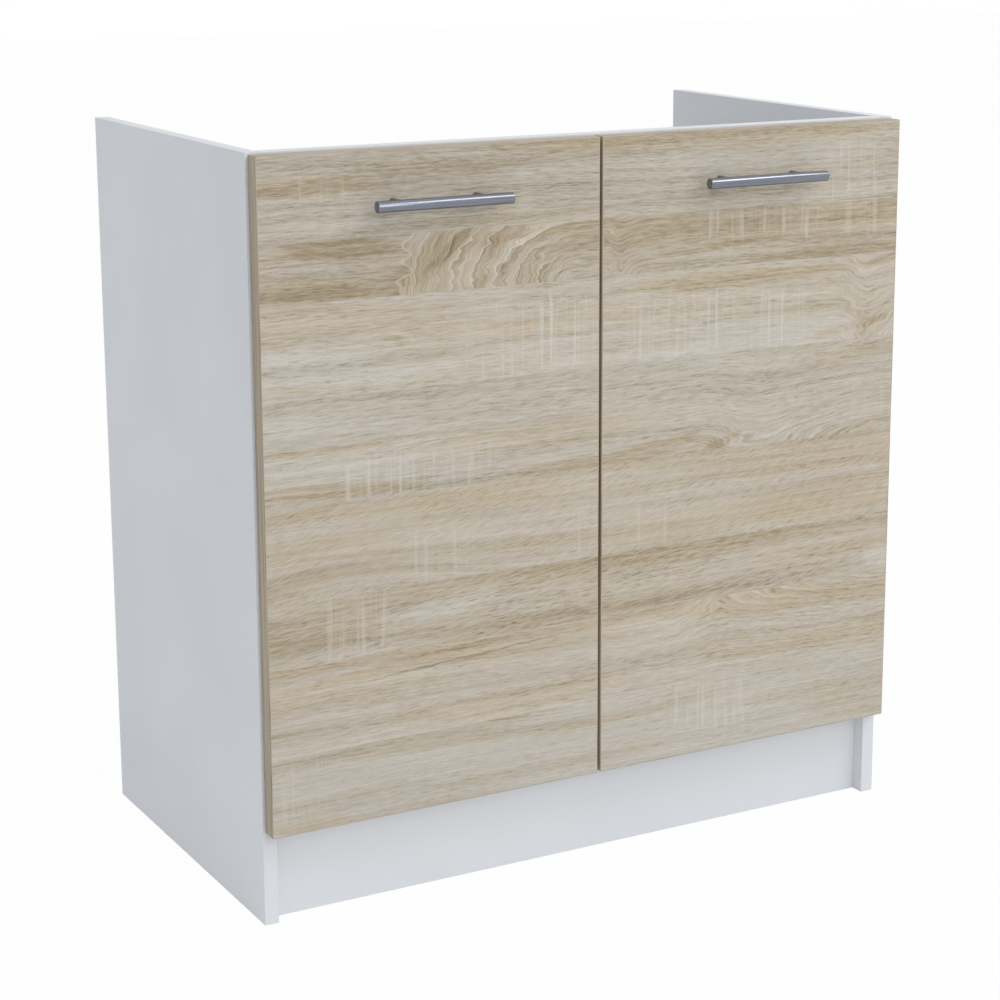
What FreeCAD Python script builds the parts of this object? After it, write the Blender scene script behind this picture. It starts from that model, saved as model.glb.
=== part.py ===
import FreeCAD, Part
import math
import os
from FreeCAD import Vector

os.makedirs("parts", exist_ok=True)

# Kitchen sink base cabinet: white board carcass with an open top and an open back,
# two slab doors on concealed cup hinges, and a round bar handle on each door.
# X runs to the right seen from the front, Y to the back, Z up.
# The origin is on the floor, in the middle of the whole object's box.

# Overall size, with the depth from the back of the sides to the front of the doors
width = 800.0
height = 820.0
depth = 460.0

# Carcass boards
board = 16.0
plinth_height = 100.0
plinth_recess = 17.0
front_rail_height = 90.0
rear_rail_height = 100.0
rear_rail_top = 660.0

# Doors
door_thickness = 18.0
door_air = 1.5
door_reveal = 3.0
door_gap = 3.5
door_lift = 4.0
door_drop = 2.0
door_travel = 100.0

# Handles
handle_length = 156.0
handle_bar_d = 12.0
handle_post_d = 10.0
handle_spacing = 96.0
handle_reach = 31.0
handle_drop = 55.0

# Hinges: height on the door, cup, swing line and plate
hinge_inset = 120.0
cup_d = 35.0
cup_edge = 4.0
pivot_edge = 4.75
pivot_depth = 10.0
plate_setback = 37.0
plate_screw_pitch = 32.0

# Clearances, and one overrun for all cuts
snug_fit = 0.03
running_fit = 0.06
loose_fit = 0.3
hole_play = 0.25
bore_spare = 0.5
overrun = 5.0

# Sides of the small round pieces, which repeat often, and of the holes that hold them
fastener_sides = 6
link_sides = 8
cam_sides = 10
ear_sides = 10
cup_sides = 16
post_sides = 16

# Planes and lines that the sizes above give
half_depth = (depth + handle_reach) / 2
bar_y = handle_bar_d / 2 - half_depth
door_face_y = handle_reach - half_depth
door_back_y = door_face_y + door_thickness
carcass_y = door_back_y + door_air
back_y = half_depth
side_x = width / 2
inner_x = side_x - board
door_bottom = plinth_height + door_lift
door_top = height - door_drop
door_outer_x = side_x - door_reveal
door_inner_x = door_gap / 2
door_mid_x = (door_outer_x + door_inner_x) / 2
floor_top = plinth_height + board

AXIS_X = Vector(1, 0, 0)
AXIS_Y = Vector(0, 1, 0)
AXIS_Z = Vector(0, 0, 1)
ORIGIN = Vector(0, 0, 0)
FORWARD = AXIS_Y * -1
DOWN = AXIS_Z * -1


# Small tools for all pieces

def block(x0, x1, y0, y1, z0, z1):
    return Part.makeBox(x1 - x0, y1 - y0, z1 - z0, Vector(x0, y0, z0))


def rod(start, direction, radius, length):
    return Part.makeCylinder(radius, length, start, direction)


def joined(shapes):
    whole = shapes[0]
    for shape in shapes[1:]:
        whole = whole.fuse(shape)
    return whole.removeSplitter()


def mirrored(shapes):
    return [shape.mirror(ORIGIN, AXIS_X) for shape in shapes]


def lifted(shapes, rise):
    return [shape.translated(AXIS_Z * rise) for shape in shapes]


def save(node, shapes):
    solids = []
    for shape in shapes:
        solids.extend(shape.Solids)
    Part.makeCompound(solids).exportStep("parts/" + node + ".step")


def corners_at(along, radius, sides):
    """Corners of a regular outline at a distance along Z."""
    corners = []
    for number in range(sides):
        angle = 2 * math.pi * number / sides
        corners.append(Vector(radius * math.cos(angle), radius * math.sin(angle), along))
    return corners


def flat(corners):
    return Part.Face(Part.makePolygon(corners + corners[:1]))


def turned(profile, start, direction, sides):
    """Flat-sided turned body through (distance along direction, radius of the corners) points."""
    rings = [corners_at(along, radius, sides) for along, radius in profile]
    faces = [flat(rings[0]), flat(rings[-1])]
    for near, far in zip(rings, rings[1:]):
        for number in range(sides):
            beside = (number + 1) % sides
            faces.append(flat([near[number], near[beside], far[beside], far[number]]))
    body = Part.makeSolid(Part.makeShell(faces)).removeSplitter()
    body.Placement = FreeCAD.Placement(start, FreeCAD.Rotation(AXIS_Z, direction))
    return body


def peg(start, direction, radius, length, sides):
    return turned([(0, radius), (length, radius)], start, direction, sides)


def round_about(radius, sides):
    """Corner radius of an outline whose flats touch a circle of this radius."""
    return radius / math.cos(math.pi / sides)


# Screws, each drawn with the hole that it needs

tip_radius_share = 0.25
pan_top_share = 0.8


def countersunk_screw(face, inward, head_d, shank_d, length):
    """Screw with its flat head flush with face and its shank along inward."""
    head_h = (head_d - shank_d) / 2
    return turned([
        (0, head_d / 2),
        (head_h, shank_d / 2),
        (length - shank_d, shank_d / 2),
        (length, shank_d / 2 * tip_radius_share),
    ], face, inward, fastener_sides)


def countersunk_hole(face, inward, head_d, shank_d, length, play):
    """Hole for such a screw, wider by play all round."""
    head_h = (head_d - shank_d) / 2
    return turned([
        (-overrun, head_d / 2 + play),
        (0, head_d / 2 + play),
        (head_h, shank_d / 2 + play),
        (length + bore_spare, shank_d / 2 + play),
    ], face, inward, fastener_sides)


def pan_screw(seat, inward, head_d, head_h, shank_d, length):
    """Screw with a low head that sits on seat and a shank along inward."""
    return turned([
        (-head_h, head_d / 2 * pan_top_share),
        (0, head_d / 2),
        (0, shank_d / 2),
        (length, shank_d / 2),
    ], seat, inward, fastener_sides)


# Joints at the ends of the cross boards. A bolt is screwed into the side, a round cam in the
# board hooks its head, and a glued dowel keeps the board from turning.

cam_d = 15.0
cam_depth = 12.5
cam_setback = 24.0
bolt_d = 5.0
bolt_thread_depth = 11.0
bolt_head_d = 6.6
bolt_head_t = 3.0
bolt_bore_d = 8.0
dowel_d = 8.0
dowel_side_depth = 11.0
dowel_board_depth = 19.0


def cam_joint(x_sign, y, z, cam_face, looks):
    """Bolt, cam, and the cuts in the side and in the board, for a cam dropped in from cam_face."""
    outward = AXIS_X * x_sign
    inward = AXIS_X * -x_sign
    inner_face = Vector(x_sign * inner_x, y, z)
    head_start = cam_setback - bolt_head_t / 2
    head_end = cam_setback + bolt_head_t / 2
    bolt = turned([
        (-bolt_thread_depth, bolt_d / 2),
        (head_start, bolt_d / 2),
        (head_start, bolt_head_d / 2),
        (head_end, bolt_head_d / 2),
    ], inner_face, inward, fastener_sides)
    side_cut = peg(inner_face + inward * overrun, outward, bolt_d / 2 + snug_fit,
                   overrun + bolt_thread_depth + bore_spare, fastener_sides)
    bolt_bore = peg(inner_face + outward * overrun, inward, bolt_bore_d / 2,
                    overrun + cam_setback, fastener_sides)
    mouth = inner_face + inward * cam_setback
    mouth += looks * (cam_face - mouth.dot(looks))
    cam_bore = peg(mouth + looks * overrun, looks * -1, cam_d / 2, overrun + cam_depth, cam_sides)
    cam_top = mouth - looks * loose_fit
    cam = peg(cam_top, looks * -1, cam_d / 2 - snug_fit, cam_depth - loose_fit - snug_fit,
              cam_sides)
    for start, reach, half in ((0, head_start, bolt_d / 2 + loose_fit),
                               (head_start - loose_fit, bolt_head_t + 2 * loose_fit,
                                bolt_head_d / 2 + loose_fit)):
        across = looks.cross(inward) * half
        up = looks * half
        near = inner_face + inward * start
        corners = [near + across + up, near - across + up, near - across - up, near + across - up]
        cam = cam.cut(flat(corners).extrude(inward * reach))
    return bolt, cam, side_cut, bolt_bore.fuse(cam_bore)


def dowel_joint(x_sign, y, z):
    """Dowel, and the cuts that it needs in the side and in the board."""
    outward = AXIS_X * x_sign
    inward = AXIS_X * -x_sign
    inner_face = Vector(x_sign * inner_x, y, z)
    dowel = peg(inner_face + outward * dowel_side_depth, inward, dowel_d / 2 - snug_fit,
                dowel_side_depth + dowel_board_depth, fastener_sides)
    side_cut = peg(inner_face + inward * overrun, outward, dowel_d / 2,
                   overrun + dowel_side_depth + bore_spare, fastener_sides)
    board_cut = peg(inner_face + outward * overrun, inward, dowel_d / 2,
                    overrun + dowel_board_depth + bore_spare, fastener_sides)
    return dowel, side_cut, board_cut


# Cross boards between the sides. The cams of the bottom panel are let in from below,
# those of the front rail from behind, and those of the two rear rails from the back.

rail_cam_share = 0.3
rail_dowel_share = 0.72
panel_cam_inset = 60.0
panel_dowel_inset = 110.0
wall_hole_d = 6.0
wall_hole_spacing = 600.0

rail_low = height - front_rail_height
upper_low = rear_rail_top - rear_rail_height
lower_high = floor_top + rear_rail_height
panel_mid_z = plinth_height + board / 2

boards = {
    "bottom_panel": block(-inner_x, inner_x, carcass_y, back_y, plinth_height, floor_top),
    "front_top_rail": block(-inner_x, inner_x, carcass_y, carcass_y + board, rail_low, height),
    "rear_upper_rail": block(-inner_x, inner_x, back_y - board, back_y, upper_low, rear_rail_top),
    "rear_lower_rail": block(-inner_x, inner_x, back_y - board, back_y, floor_top, lower_high),
}


def rail_ends(name, low, tall, middle_y, cam_face):
    cam_spot = (middle_y, low + tall * rail_cam_share)
    dowel_spot = (middle_y, low + tall * rail_dowel_share)
    return name, cam_face, AXIS_Y, [cam_spot], [dowel_spot]


panel_cams = [(carcass_y + panel_cam_inset, panel_mid_z), (back_y - panel_cam_inset, panel_mid_z)]
panel_dowels = [(carcass_y + panel_dowel_inset, panel_mid_z),
                (back_y - panel_dowel_inset, panel_mid_z)]
front_mid_y = carcass_y + board / 2
rear_mid_y = back_y - board / 2
board_ends = [
    ("bottom_panel", plinth_height, DOWN, panel_cams, panel_dowels),
    rail_ends("front_top_rail", rail_low, front_rail_height, front_mid_y, carcass_y + board),
    rail_ends("rear_upper_rail", upper_low, rear_rail_height, rear_mid_y, back_y),
    rail_ends("rear_lower_rail", floor_top, rear_rail_height, rear_mid_y, back_y),
]

cam_bolts = []
cam_locks = []
dowels = []
side_cuts = {-1: [], 1: []}
for name, cam_face, looks, cam_spots, dowel_spots in board_ends:
    cam_level = cam_face * looks.dot(AXIS_Y + AXIS_Z)
    for x_sign in (-1, 1):
        for y, z in cam_spots:
            bolt, cam, side_cut, board_cut = cam_joint(x_sign, y, z, cam_level, looks)
            cam_bolts.append(bolt)
            cam_locks.append(cam)
            side_cuts[x_sign].append(side_cut)
            boards[name] = boards[name].cut(board_cut)
        for y, z in dowel_spots:
            dowel, side_cut, board_cut = dowel_joint(x_sign, y, z)
            dowels.append(dowel)
            side_cuts[x_sign].append(side_cut)
            boards[name] = boards[name].cut(board_cut)

# Two holes for the wall fixings in the rear upper rail
for x_sign in (-1, 1):
    hole_start = Vector(x_sign * wall_hole_spacing / 2, back_y + overrun,
                        rear_rail_top - rear_rail_height / 2)
    wall_hole = rod(hole_start, FORWARD, wall_hole_d / 2, board + 2 * overrun)
    boards["rear_upper_rail"] = boards["rear_upper_rail"].cut(wall_hole)

# Plinth board, standing on the floor under the bottom panel and set back behind the doors.
# Four moulded corner brackets hold it: one to each side and two up to the bottom panel.

bracket_leg = 24.0
bracket_width = 30.0
bracket_t = 3.0
bracket_web_t = 2.5
bracket_spacing = 400.0
bracket_height_share = 0.5
bracket_screw_d = 3.5
bracket_screw_head_d = 6.8
bracket_screw_length = 14.0

plinth_back_y = carcass_y + plinth_recess + board
boards["plinth_board"] = block(-inner_x, inner_x, carcass_y + plinth_recess, plinth_back_y,
                               0, plinth_height)


def corner_bracket(corner, leg_a, leg_b):
    """Bracket in a corner, with legs along leg_a and leg_b, its two screws and their holes."""
    across = leg_a.cross(leg_b)
    start = corner - across * (bracket_width / 2)

    def slab(a_size, b_size):
        return flat([start, start + leg_a * a_size, start + leg_a * a_size + leg_b * b_size,
                     start + leg_b * b_size]).extrude(across * bracket_width)

    pieces = [slab(bracket_leg, bracket_t), slab(bracket_t, bracket_leg)]
    for offset in (0, bracket_width - bracket_web_t):
        tip = start + across * offset
        triangle = flat([tip, tip + leg_a * bracket_leg, tip + leg_b * bracket_leg])
        pieces.append(triangle.extrude(across * bracket_web_t))
    bracket = joined(pieces)
    screws = []
    pilots = []
    reach = (bracket_leg + bracket_t) / 2
    for along, inward in ((leg_a, leg_b * -1), (leg_b, leg_a * -1)):
        face = corner + along * reach - inward * bracket_t
        size = (bracket_screw_head_d, bracket_screw_d, bracket_screw_length)
        screws.append(countersunk_screw(face, inward, *size))
        bracket = bracket.cut(countersunk_hole(face, inward, *size, snug_fit))
        pilots.append(countersunk_hole(face, inward, *size, snug_fit))
    return bracket, screws, pilots


brackets = []
bracket_screws = []
for x_sign in (-1, 1):
    side_corner = Vector(x_sign * inner_x, plinth_back_y, plinth_height * bracket_height_share)
    bracket, screws, (plinth_cut, side_cut) = corner_bracket(side_corner, AXIS_X * -x_sign, AXIS_Y)
    brackets.append(bracket)
    bracket_screws.extend(screws)
    boards["plinth_board"] = boards["plinth_board"].cut(plinth_cut)
    side_cuts[x_sign].append(side_cut)

    top_corner = Vector(x_sign * bracket_spacing / 2, plinth_back_y, plinth_height)
    bracket, screws, (plinth_cut, panel_cut) = corner_bracket(top_corner, DOWN, AXIS_Y)
    brackets.append(bracket)
    bracket_screws.extend(screws)
    boards["plinth_board"] = boards["plinth_board"].cut(plinth_cut)
    boards["bottom_panel"] = boards["bottom_panel"].cut(panel_cut)

# Concealed cup hinge. It is drawn once, for the left door and at height 0, in its own places:
# u runs from the side's inner face into the cabinet, v from the side's front edge towards the
# front, and w up. Copies are lifted to the hinge heights and mirrored for the right door.
# The arm's nose carries two pins in the mouth of the cup. The outer link turns on the first
# and the inner link on the second, and their far ends ride between the cheeks of the cup, a
# little inside and behind the line that the door swings on.

door_edge_u = inner_x - door_outer_x
cup_u = door_edge_u + cup_edge + cup_d / 2
pivot_u = door_edge_u + pivot_edge
pivot_v = door_air + pivot_depth
screw_ways = (-1, 1)

link_cheek_t = 1.2
link_t = 2.4
link_bow_steps = 4
inner_link_width = 6.8
link_root_eye_d = 4.0
link_tip_eye_d = 2.8
root_pin_d = 2.0
tip_pin_d = 1.6
link_web_t = 1.0
link_web_start_share = 0.12
link_web_end_share = 0.5
outer_turn_share = 0.34
inner_turn_share = 0.24

outer_root_u = 20.8
outer_root_v = 3.6
outer_tip_inset = 5.28
outer_tip_setback = 7.5
outer_bow = 0.65
inner_root_u = 16.52
inner_root_v = 8.6
inner_tip_inset = 4.09
inner_tip_setback = 3.16
inner_bow = 2.22

outer_root = (outer_root_u, outer_root_v)
outer_tip = (pivot_u + outer_tip_inset, pivot_v - outer_tip_setback)
inner_root = (inner_root_u, inner_root_v)
inner_tip = (pivot_u + inner_tip_inset, pivot_v - inner_tip_setback)

# Layers of the hinge from its middle outwards: inner link, outer link's cheeks, arm's cheeks
inner_w = inner_link_width / 2
outer_low_w = inner_w + loose_fit
outer_high_w = outer_low_w + link_cheek_t
arm_low_w = outer_high_w + loose_fit
arm_high_w = arm_low_w + link_cheek_t
cup_slot_w = arm_high_w + loose_fit


def spot(u, v, w=0):
    return Vector(u - inner_x, carcass_y - v, w)


def sheet(points, low_w, high_w):
    """Flat piece with an outline of (u, v) points, from low_w to high_w."""
    return flat([spot(u, v, low_w) for u, v in points]).extrude(AXIS_Z * (high_w - low_w))


def disc(place, diameter, low_w, high_w):
    return peg(spot(*place, low_w), AXIS_Z, diameter / 2, high_w - low_w, link_sides)


def eye(place, diameter):
    """Hole whose flats touch a circle of this diameter, through the whole hinge."""
    return disc(place, round_about(diameter, link_sides), -arm_high_w, arm_high_w)


def pin(place, diameter):
    return rod(spot(*place, -arm_high_w), AXIS_Z, diameter / 2, 2 * arm_high_w)


def band(root, tip, bow, start_share, end_share, low, high):
    """Outline of a stretch of a bowed link, from low to high on either side of its middle line."""
    run_u = tip[0] - root[0]
    run_v = tip[1] - root[1]
    run = math.hypot(run_u, run_v)
    edges = []
    for step in range(link_bow_steps + 1):
        share = start_share + (end_share - start_share) * step / link_bow_steps
        rise = 4 * bow * share * (1 - share)
        edge = []
        for offset in (low, high):
            edge.append((root[0] + run_u * share + run_v / run * (rise + offset),
                         root[1] + run_v * share - run_u / run * (rise + offset)))
        edges.append(edge)
    return [edge[0] for edge in edges] + [edge[1] for edge in reversed(edges)]


def link_layer(root, tip, bow, low_w, high_w):
    """One flat layer of a link, with its two eyes and their holes."""
    layer = joined([
        sheet(band(root, tip, bow, 0, 1, -link_t / 2, link_t / 2), low_w, high_w),
        disc(root, link_root_eye_d, low_w, high_w),
        disc(tip, link_tip_eye_d, low_w, high_w),
    ])
    layer = layer.cut(eye(root, root_pin_d + 2 * running_fit))
    return layer.cut(eye(tip, tip_pin_d + 2 * snug_fit))


def pin_path():
    """Room that the inner link's root pin needs in the outer link while that link turns."""
    reach_u = inner_root_u - outer_root_u
    reach_v = inner_root_v - outer_root_v
    reach = math.hypot(reach_u, reach_v)
    start = math.degrees(math.atan2(reach_v, reach_u))
    swing = outer_turn_share * door_travel
    half = root_pin_d / 2 + loose_fit

    def arc(radius, way):
        points = []
        for step in range(0, link_bow_steps + 1)[::way]:
            angle = math.radians(start + swing * step / link_bow_steps)
            points.append((outer_root_u + radius * math.cos(angle),
                           outer_root_v + radius * math.sin(angle)))
        return points

    end_place = arc(reach, 1)[-1]
    path = sheet(arc(reach - half, 1) + arc(reach + half, -1), -arm_high_w, arm_high_w)
    return path.fuse(eye(end_place, 2 * half))


def make_outer_link():
    """Outer link: two cheeks joined by a web on the side away from the door."""
    web_low = -link_t / 2 - link_web_t
    web_span = (link_web_start_share, link_web_end_share)
    shape = (outer_root, outer_tip, outer_bow)
    web = sheet(band(*shape, *web_span, web_low, -link_t / 2), -outer_low_w, outer_low_w)
    pieces = [web]
    for low_w, high_w in ((-outer_high_w, -outer_low_w), (outer_low_w, outer_high_w)):
        pieces.append(link_layer(*shape, low_w, high_w).cut(pin_path()))
        pieces.append(sheet(band(*shape, *web_span, web_low, 0), low_w, high_w))
    root_eye = eye(outer_root, root_pin_d + 2 * running_fit)
    return joined(pieces).cut(root_eye).cut(pin_path())


def make_outer_studs():
    """Two short pins in the outer link's tip, reaching out to the cheeks of the cup."""
    stud = disc(outer_tip, tip_pin_d, outer_low_w, arm_high_w)
    return [stud, stud.mirror(ORIGIN, AXIS_Z)]


# Arm: a channel that straddles the mounting plate's rib and cranks up to the nose
rib_h = 9.7
rib_length = 48.0
rib_front = 12.0
rib_slope = 6.0
wing_t = 2.0
wing_width = 15.0
arm_length = 62.0
arm_t = 1.2
nose_eye_d = 5.2
nose_high = 24.4
nose_mouth = 0.5
crank_front = 3.0
crank_rear = 15.0
crank_inset = 0.5
clamp_setback = 53.0
clamp_slot_length = 6.0
clamp_screw_d = 4.0
clamp_head_d = 7.5
clamp_head_h = 2.0
clamp_screw_depth = 7.0
adjuster_setback = 25.0
adjuster_d = 6.0
adjuster_rise = 1.2

arm_low = wing_t + loose_fit
arm_seat = rib_h + loose_fit
arm_high = arm_seat + arm_t


def make_arm():
    nose_r = nose_eye_d / 2
    run_u = inner_root_u - outer_root_u
    run_v = inner_root_v - outer_root_v
    run = math.hypot(run_u, run_v)
    off_u = run_v / run * nose_r
    off_v = -run_u / run * nose_r
    outline = [
        (arm_low, -arm_length),
        (arm_low, -crank_rear),
        (inner_root_u - nose_r, inner_root_v),
        (inner_root_u + off_u, inner_root_v + off_v),
        (outer_root_u + off_u, outer_root_v + off_v),
        (outer_root_u + nose_r, outer_root_v),
        (outer_root_u + nose_r, -nose_mouth),
        (nose_high, -nose_mouth),
        (nose_high, -crank_front),
        (arm_high, -crank_rear),
        (arm_high, -arm_length),
    ]
    channel = [
        (-overrun, -arm_length - overrun),
        (arm_seat, -arm_length - overrun),
        (arm_seat, -crank_rear - crank_inset),
        (nose_high - arm_t, -crank_front - crank_inset),
        (nose_high - arm_t, -nose_mouth),
        (nose_high + overrun, -nose_mouth),
        (nose_high + overrun, inner_root_v + nose_r + overrun),
        (-overrun, inner_root_v + nose_r + overrun),
    ]
    arm = joined([
        sheet(outline, -arm_high_w, arm_high_w),
        disc(inner_root, nose_eye_d, -arm_high_w, arm_high_w),
        disc(outer_root, nose_eye_d, -arm_high_w, arm_high_w),
    ])
    arm = arm.cut(sheet(channel, -arm_low_w, arm_low_w))
    for place in (outer_root, inner_root):
        arm = arm.cut(eye(place, root_pin_d + 2 * snug_fit))
    slot_cuts = []
    slot_r = clamp_screw_d / 2 + hole_play
    for way in screw_ways:
        slot_end = spot(arm_seat - overrun, -clamp_setback + way * clamp_slot_length / 2)
        slot_cuts.append(peg(slot_end, AXIS_X, slot_r, arm_t + 2 * overrun, fastener_sides))
    low_end = spot(arm_seat - overrun, -clamp_setback - clamp_slot_length / 2, -slot_r)
    slot_cuts.append(Part.makeBox(arm_t + 2 * overrun, clamp_slot_length, 2 * slot_r,
                                  low_end - AXIS_Y * clamp_slot_length))
    arm = arm.cut(joined(slot_cuts))
    adjuster_hole = peg(spot(arm_seat - loose_fit, -adjuster_setback), AXIS_X,
                        adjuster_d / 2 + snug_fit, arm_t + overrun, fastener_sides)
    return arm.cut(adjuster_hole)


def make_arm_screws():
    """Clamp screw through the arm's slot into the rib, and the adjusting screw on the rib."""
    clamp = pan_screw(spot(arm_high, -clamp_setback), AXIS_X * -1, clamp_head_d, clamp_head_h,
                      clamp_screw_d, arm_t + clamp_screw_depth)
    adjuster = peg(spot(rib_h, -adjuster_setback), AXIS_X, adjuster_d / 2,
                   arm_high + adjuster_rise - rib_h, fastener_sides)
    return [clamp, adjuster]


# Mounting plate: wings with two countersunk system screws, and the rib that the arm sits on
plate_bore_d = 5.0
plate_bore_depth = 13.0
plate_screw_head_d = 8.0
plate_screw_size = (plate_screw_head_d, plate_bore_d, plate_bore_depth)


def plate_screw_spot(way, u):
    return spot(u, -plate_setback, way * plate_screw_pitch / 2)


def make_plate():
    pieces = [sheet([
        (0, -rib_front),
        (rib_h, -rib_front - rib_slope),
        (rib_h, -rib_front - rib_length),
        (0, -rib_front - rib_length),
    ], -arm_low_w + loose_fit, arm_low_w - loose_fit)]
    corner = spot(0, -plate_setback + wing_width / 2, -plate_screw_pitch / 2)
    pieces.append(Part.makeBox(wing_t, wing_width, plate_screw_pitch, corner))
    for way in screw_ways:
        pieces.append(peg(plate_screw_spot(way, 0), AXIS_X, wing_width / 2, wing_t, ear_sides))
    plate = joined(pieces)
    for way in screw_ways:
        plate = plate.cut(countersunk_hole(plate_screw_spot(way, wing_t), AXIS_X * -1,
                                           *plate_screw_size, snug_fit))
    clamp_bore = peg(spot(rib_h + overrun, -clamp_setback), AXIS_X * -1,
                     clamp_screw_d / 2 + snug_fit, overrun + rib_h, fastener_sides)
    return plate.cut(clamp_bore)


def make_plate_screws():
    return [countersunk_screw(plate_screw_spot(way, wing_t), AXIS_X * -1, *plate_screw_size)
            for way in screw_ways]


def make_plate_bores():
    return [peg(plate_screw_spot(way, overrun), AXIS_X * -1, plate_bore_d / 2 + snug_fit,
                overrun + plate_bore_depth, fastener_sides) for way in screw_ways]


# Cup: a round bowl let into the door, with two cheeks inside and a screwed flange
cup_depth = 11.9
cup_wall = 0.9
cup_cheek_t = 1.2
cup_cheek_drop = 0.8
cup_rim = 0.7
flange_t = 1.0
flange_ear_d = 12.0
cup_screw_offset = 6.0
cup_screw_pitch = 48.0
cup_screw_head_d = 6.4
cup_screw_d = 3.5
cup_screw_length = 15.0
cup_screw_size = (cup_screw_head_d, cup_screw_d, cup_screw_length)


def cup_screw_spot(way, v):
    return spot(cup_u + cup_screw_offset, v, way * cup_screw_pitch / 2)


def make_cup():
    flange_v = door_air - flange_t
    pocket_depth = cup_depth - cup_wall
    ear_corner = spot(cup_u + cup_screw_offset - flange_ear_d / 2, door_air, -cup_screw_pitch / 2)
    pieces = [
        peg(spot(cup_u, door_air), FORWARD, cup_d / 2 - snug_fit, cup_depth, cup_sides),
        peg(spot(cup_u, flange_v), FORWARD, cup_d / 2 + cup_rim, flange_t, cup_sides),
        Part.makeBox(flange_ear_d, flange_t, cup_screw_pitch, ear_corner),
    ]
    for way in screw_ways:
        pieces.append(peg(cup_screw_spot(way, flange_v), FORWARD, flange_ear_d / 2, flange_t,
                          ear_sides))
    pocket = peg(spot(cup_u, flange_v - overrun), FORWARD, cup_d / 2 - cup_wall,
                 overrun + flange_t + pocket_depth, cup_sides)
    cup = joined(pieces).cut(pocket)
    round_part = peg(spot(cup_u, door_air + cup_cheek_drop), FORWARD, (cup_d - cup_wall) / 2,
                     cup_depth - cup_cheek_drop - cup_wall / 2, cup_sides)
    for low_w in (-cup_slot_w - cup_cheek_t, cup_slot_w):
        slab = Part.makeBox(cup_d, cup_d, cup_cheek_t, spot(cup_u - cup_d / 2, cup_d, low_w))
        cup = cup.fuse(round_part.common(slab))
    for way in screw_ways:
        cup = cup.cut(countersunk_hole(cup_screw_spot(way, flange_v), FORWARD,
                                       *cup_screw_size, snug_fit))
    return cup.removeSplitter()


def make_cup_screws():
    return [countersunk_screw(cup_screw_spot(way, door_air - flange_t), FORWARD, *cup_screw_size)
            for way in screw_ways]


def make_cup_cuts():
    cuts = [peg(spot(cup_u, door_air - overrun), FORWARD, cup_d / 2,
                overrun + cup_depth + snug_fit, cup_sides)]
    for way in screw_ways:
        cuts.append(countersunk_hole(cup_screw_spot(way, door_air - flange_t), FORWARD,
                                     *cup_screw_size, snug_fit))
    return cuts


outer_links = [make_outer_link()]
outer_studs = make_outer_studs()
inner_links = [link_layer(inner_root, inner_tip, inner_bow, -inner_w, inner_w)]
inner_pins = [disc(inner_tip, tip_pin_d, -arm_high_w, arm_high_w)]
arm_pins = [pin(outer_root, root_pin_d), pin(inner_root, root_pin_d)]
arms = [make_arm()]
arm_screws = make_arm_screws()
plates = [make_plate()]
plate_screws = make_plate_screws()
cups = [make_cup()]
cup_screws = make_cup_screws()
hinge_levels = {"lower": door_bottom + hinge_inset, "upper": door_top - hinge_inset}


def on_levels(shapes):
    """Copies of the left door's hinge pieces at both hinge heights."""
    return [copy for level in hinge_levels.values() for copy in lifted(shapes, level)]


for node, shapes in (("hinge_plate", plates), ("hinge_arm", arms)):
    for level_name, level in hinge_levels.items():
        save(node + "_left_" + level_name, lifted(shapes, level))
        save(node + "_right_" + level_name, mirrored(lifted(shapes, level)))
for node, shapes in (("hinge_plate_screws", plate_screws), ("hinge_arm_screws", arm_screws),
                     ("hinge_arm_pins", arm_pins)):
    save(node, on_levels(shapes) + mirrored(on_levels(shapes)))
for node, shapes in (("outer_links", outer_links), ("outer_link_studs", outer_studs),
                     ("inner_links", inner_links), ("inner_link_pins", inner_pins),
                     ("cup_screws", cup_screws)):
    save("left_" + node, on_levels(shapes))
    save("right_" + node, mirrored(on_levels(shapes)))
for level_name, level in hinge_levels.items():
    save("left_hinge_cup_" + level_name, lifted(cups, level))
    save("right_hinge_cup_" + level_name, mirrored(lifted(cups, level)))

# Side panels, running down to the floor, with the bores for everything that is fixed to them
left_side = block(-side_x, -inner_x, carcass_y, back_y, 0, height)
right_side = left_side.mirror(ORIGIN, AXIS_X)
plate_bores = on_levels(make_plate_bores())
save("left_side_panel", [left_side.cut(side_cuts[-1] + plate_bores)])
save("right_side_panel", [right_side.cut(side_cuts[1] + mirrored(plate_bores))])
for name, shape in boards.items():
    save(name, [shape])
save("cam_bolts", cam_bolts)
save("cam_locks", cam_locks)
save("wooden_dowels", dowels)
save("plinth_brackets", brackets)
save("plinth_bracket_screws", bracket_screws)

# Handle: a round bar on two posts, each coped to the bar and held by a screw through the door
handle_z = door_top - handle_drop
handle_chamfer = 0.8
handle_screw_d = 4.0
handle_screw_depth = 12.0
handle_head_d = 8.0
handle_head_h = 2.4

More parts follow.
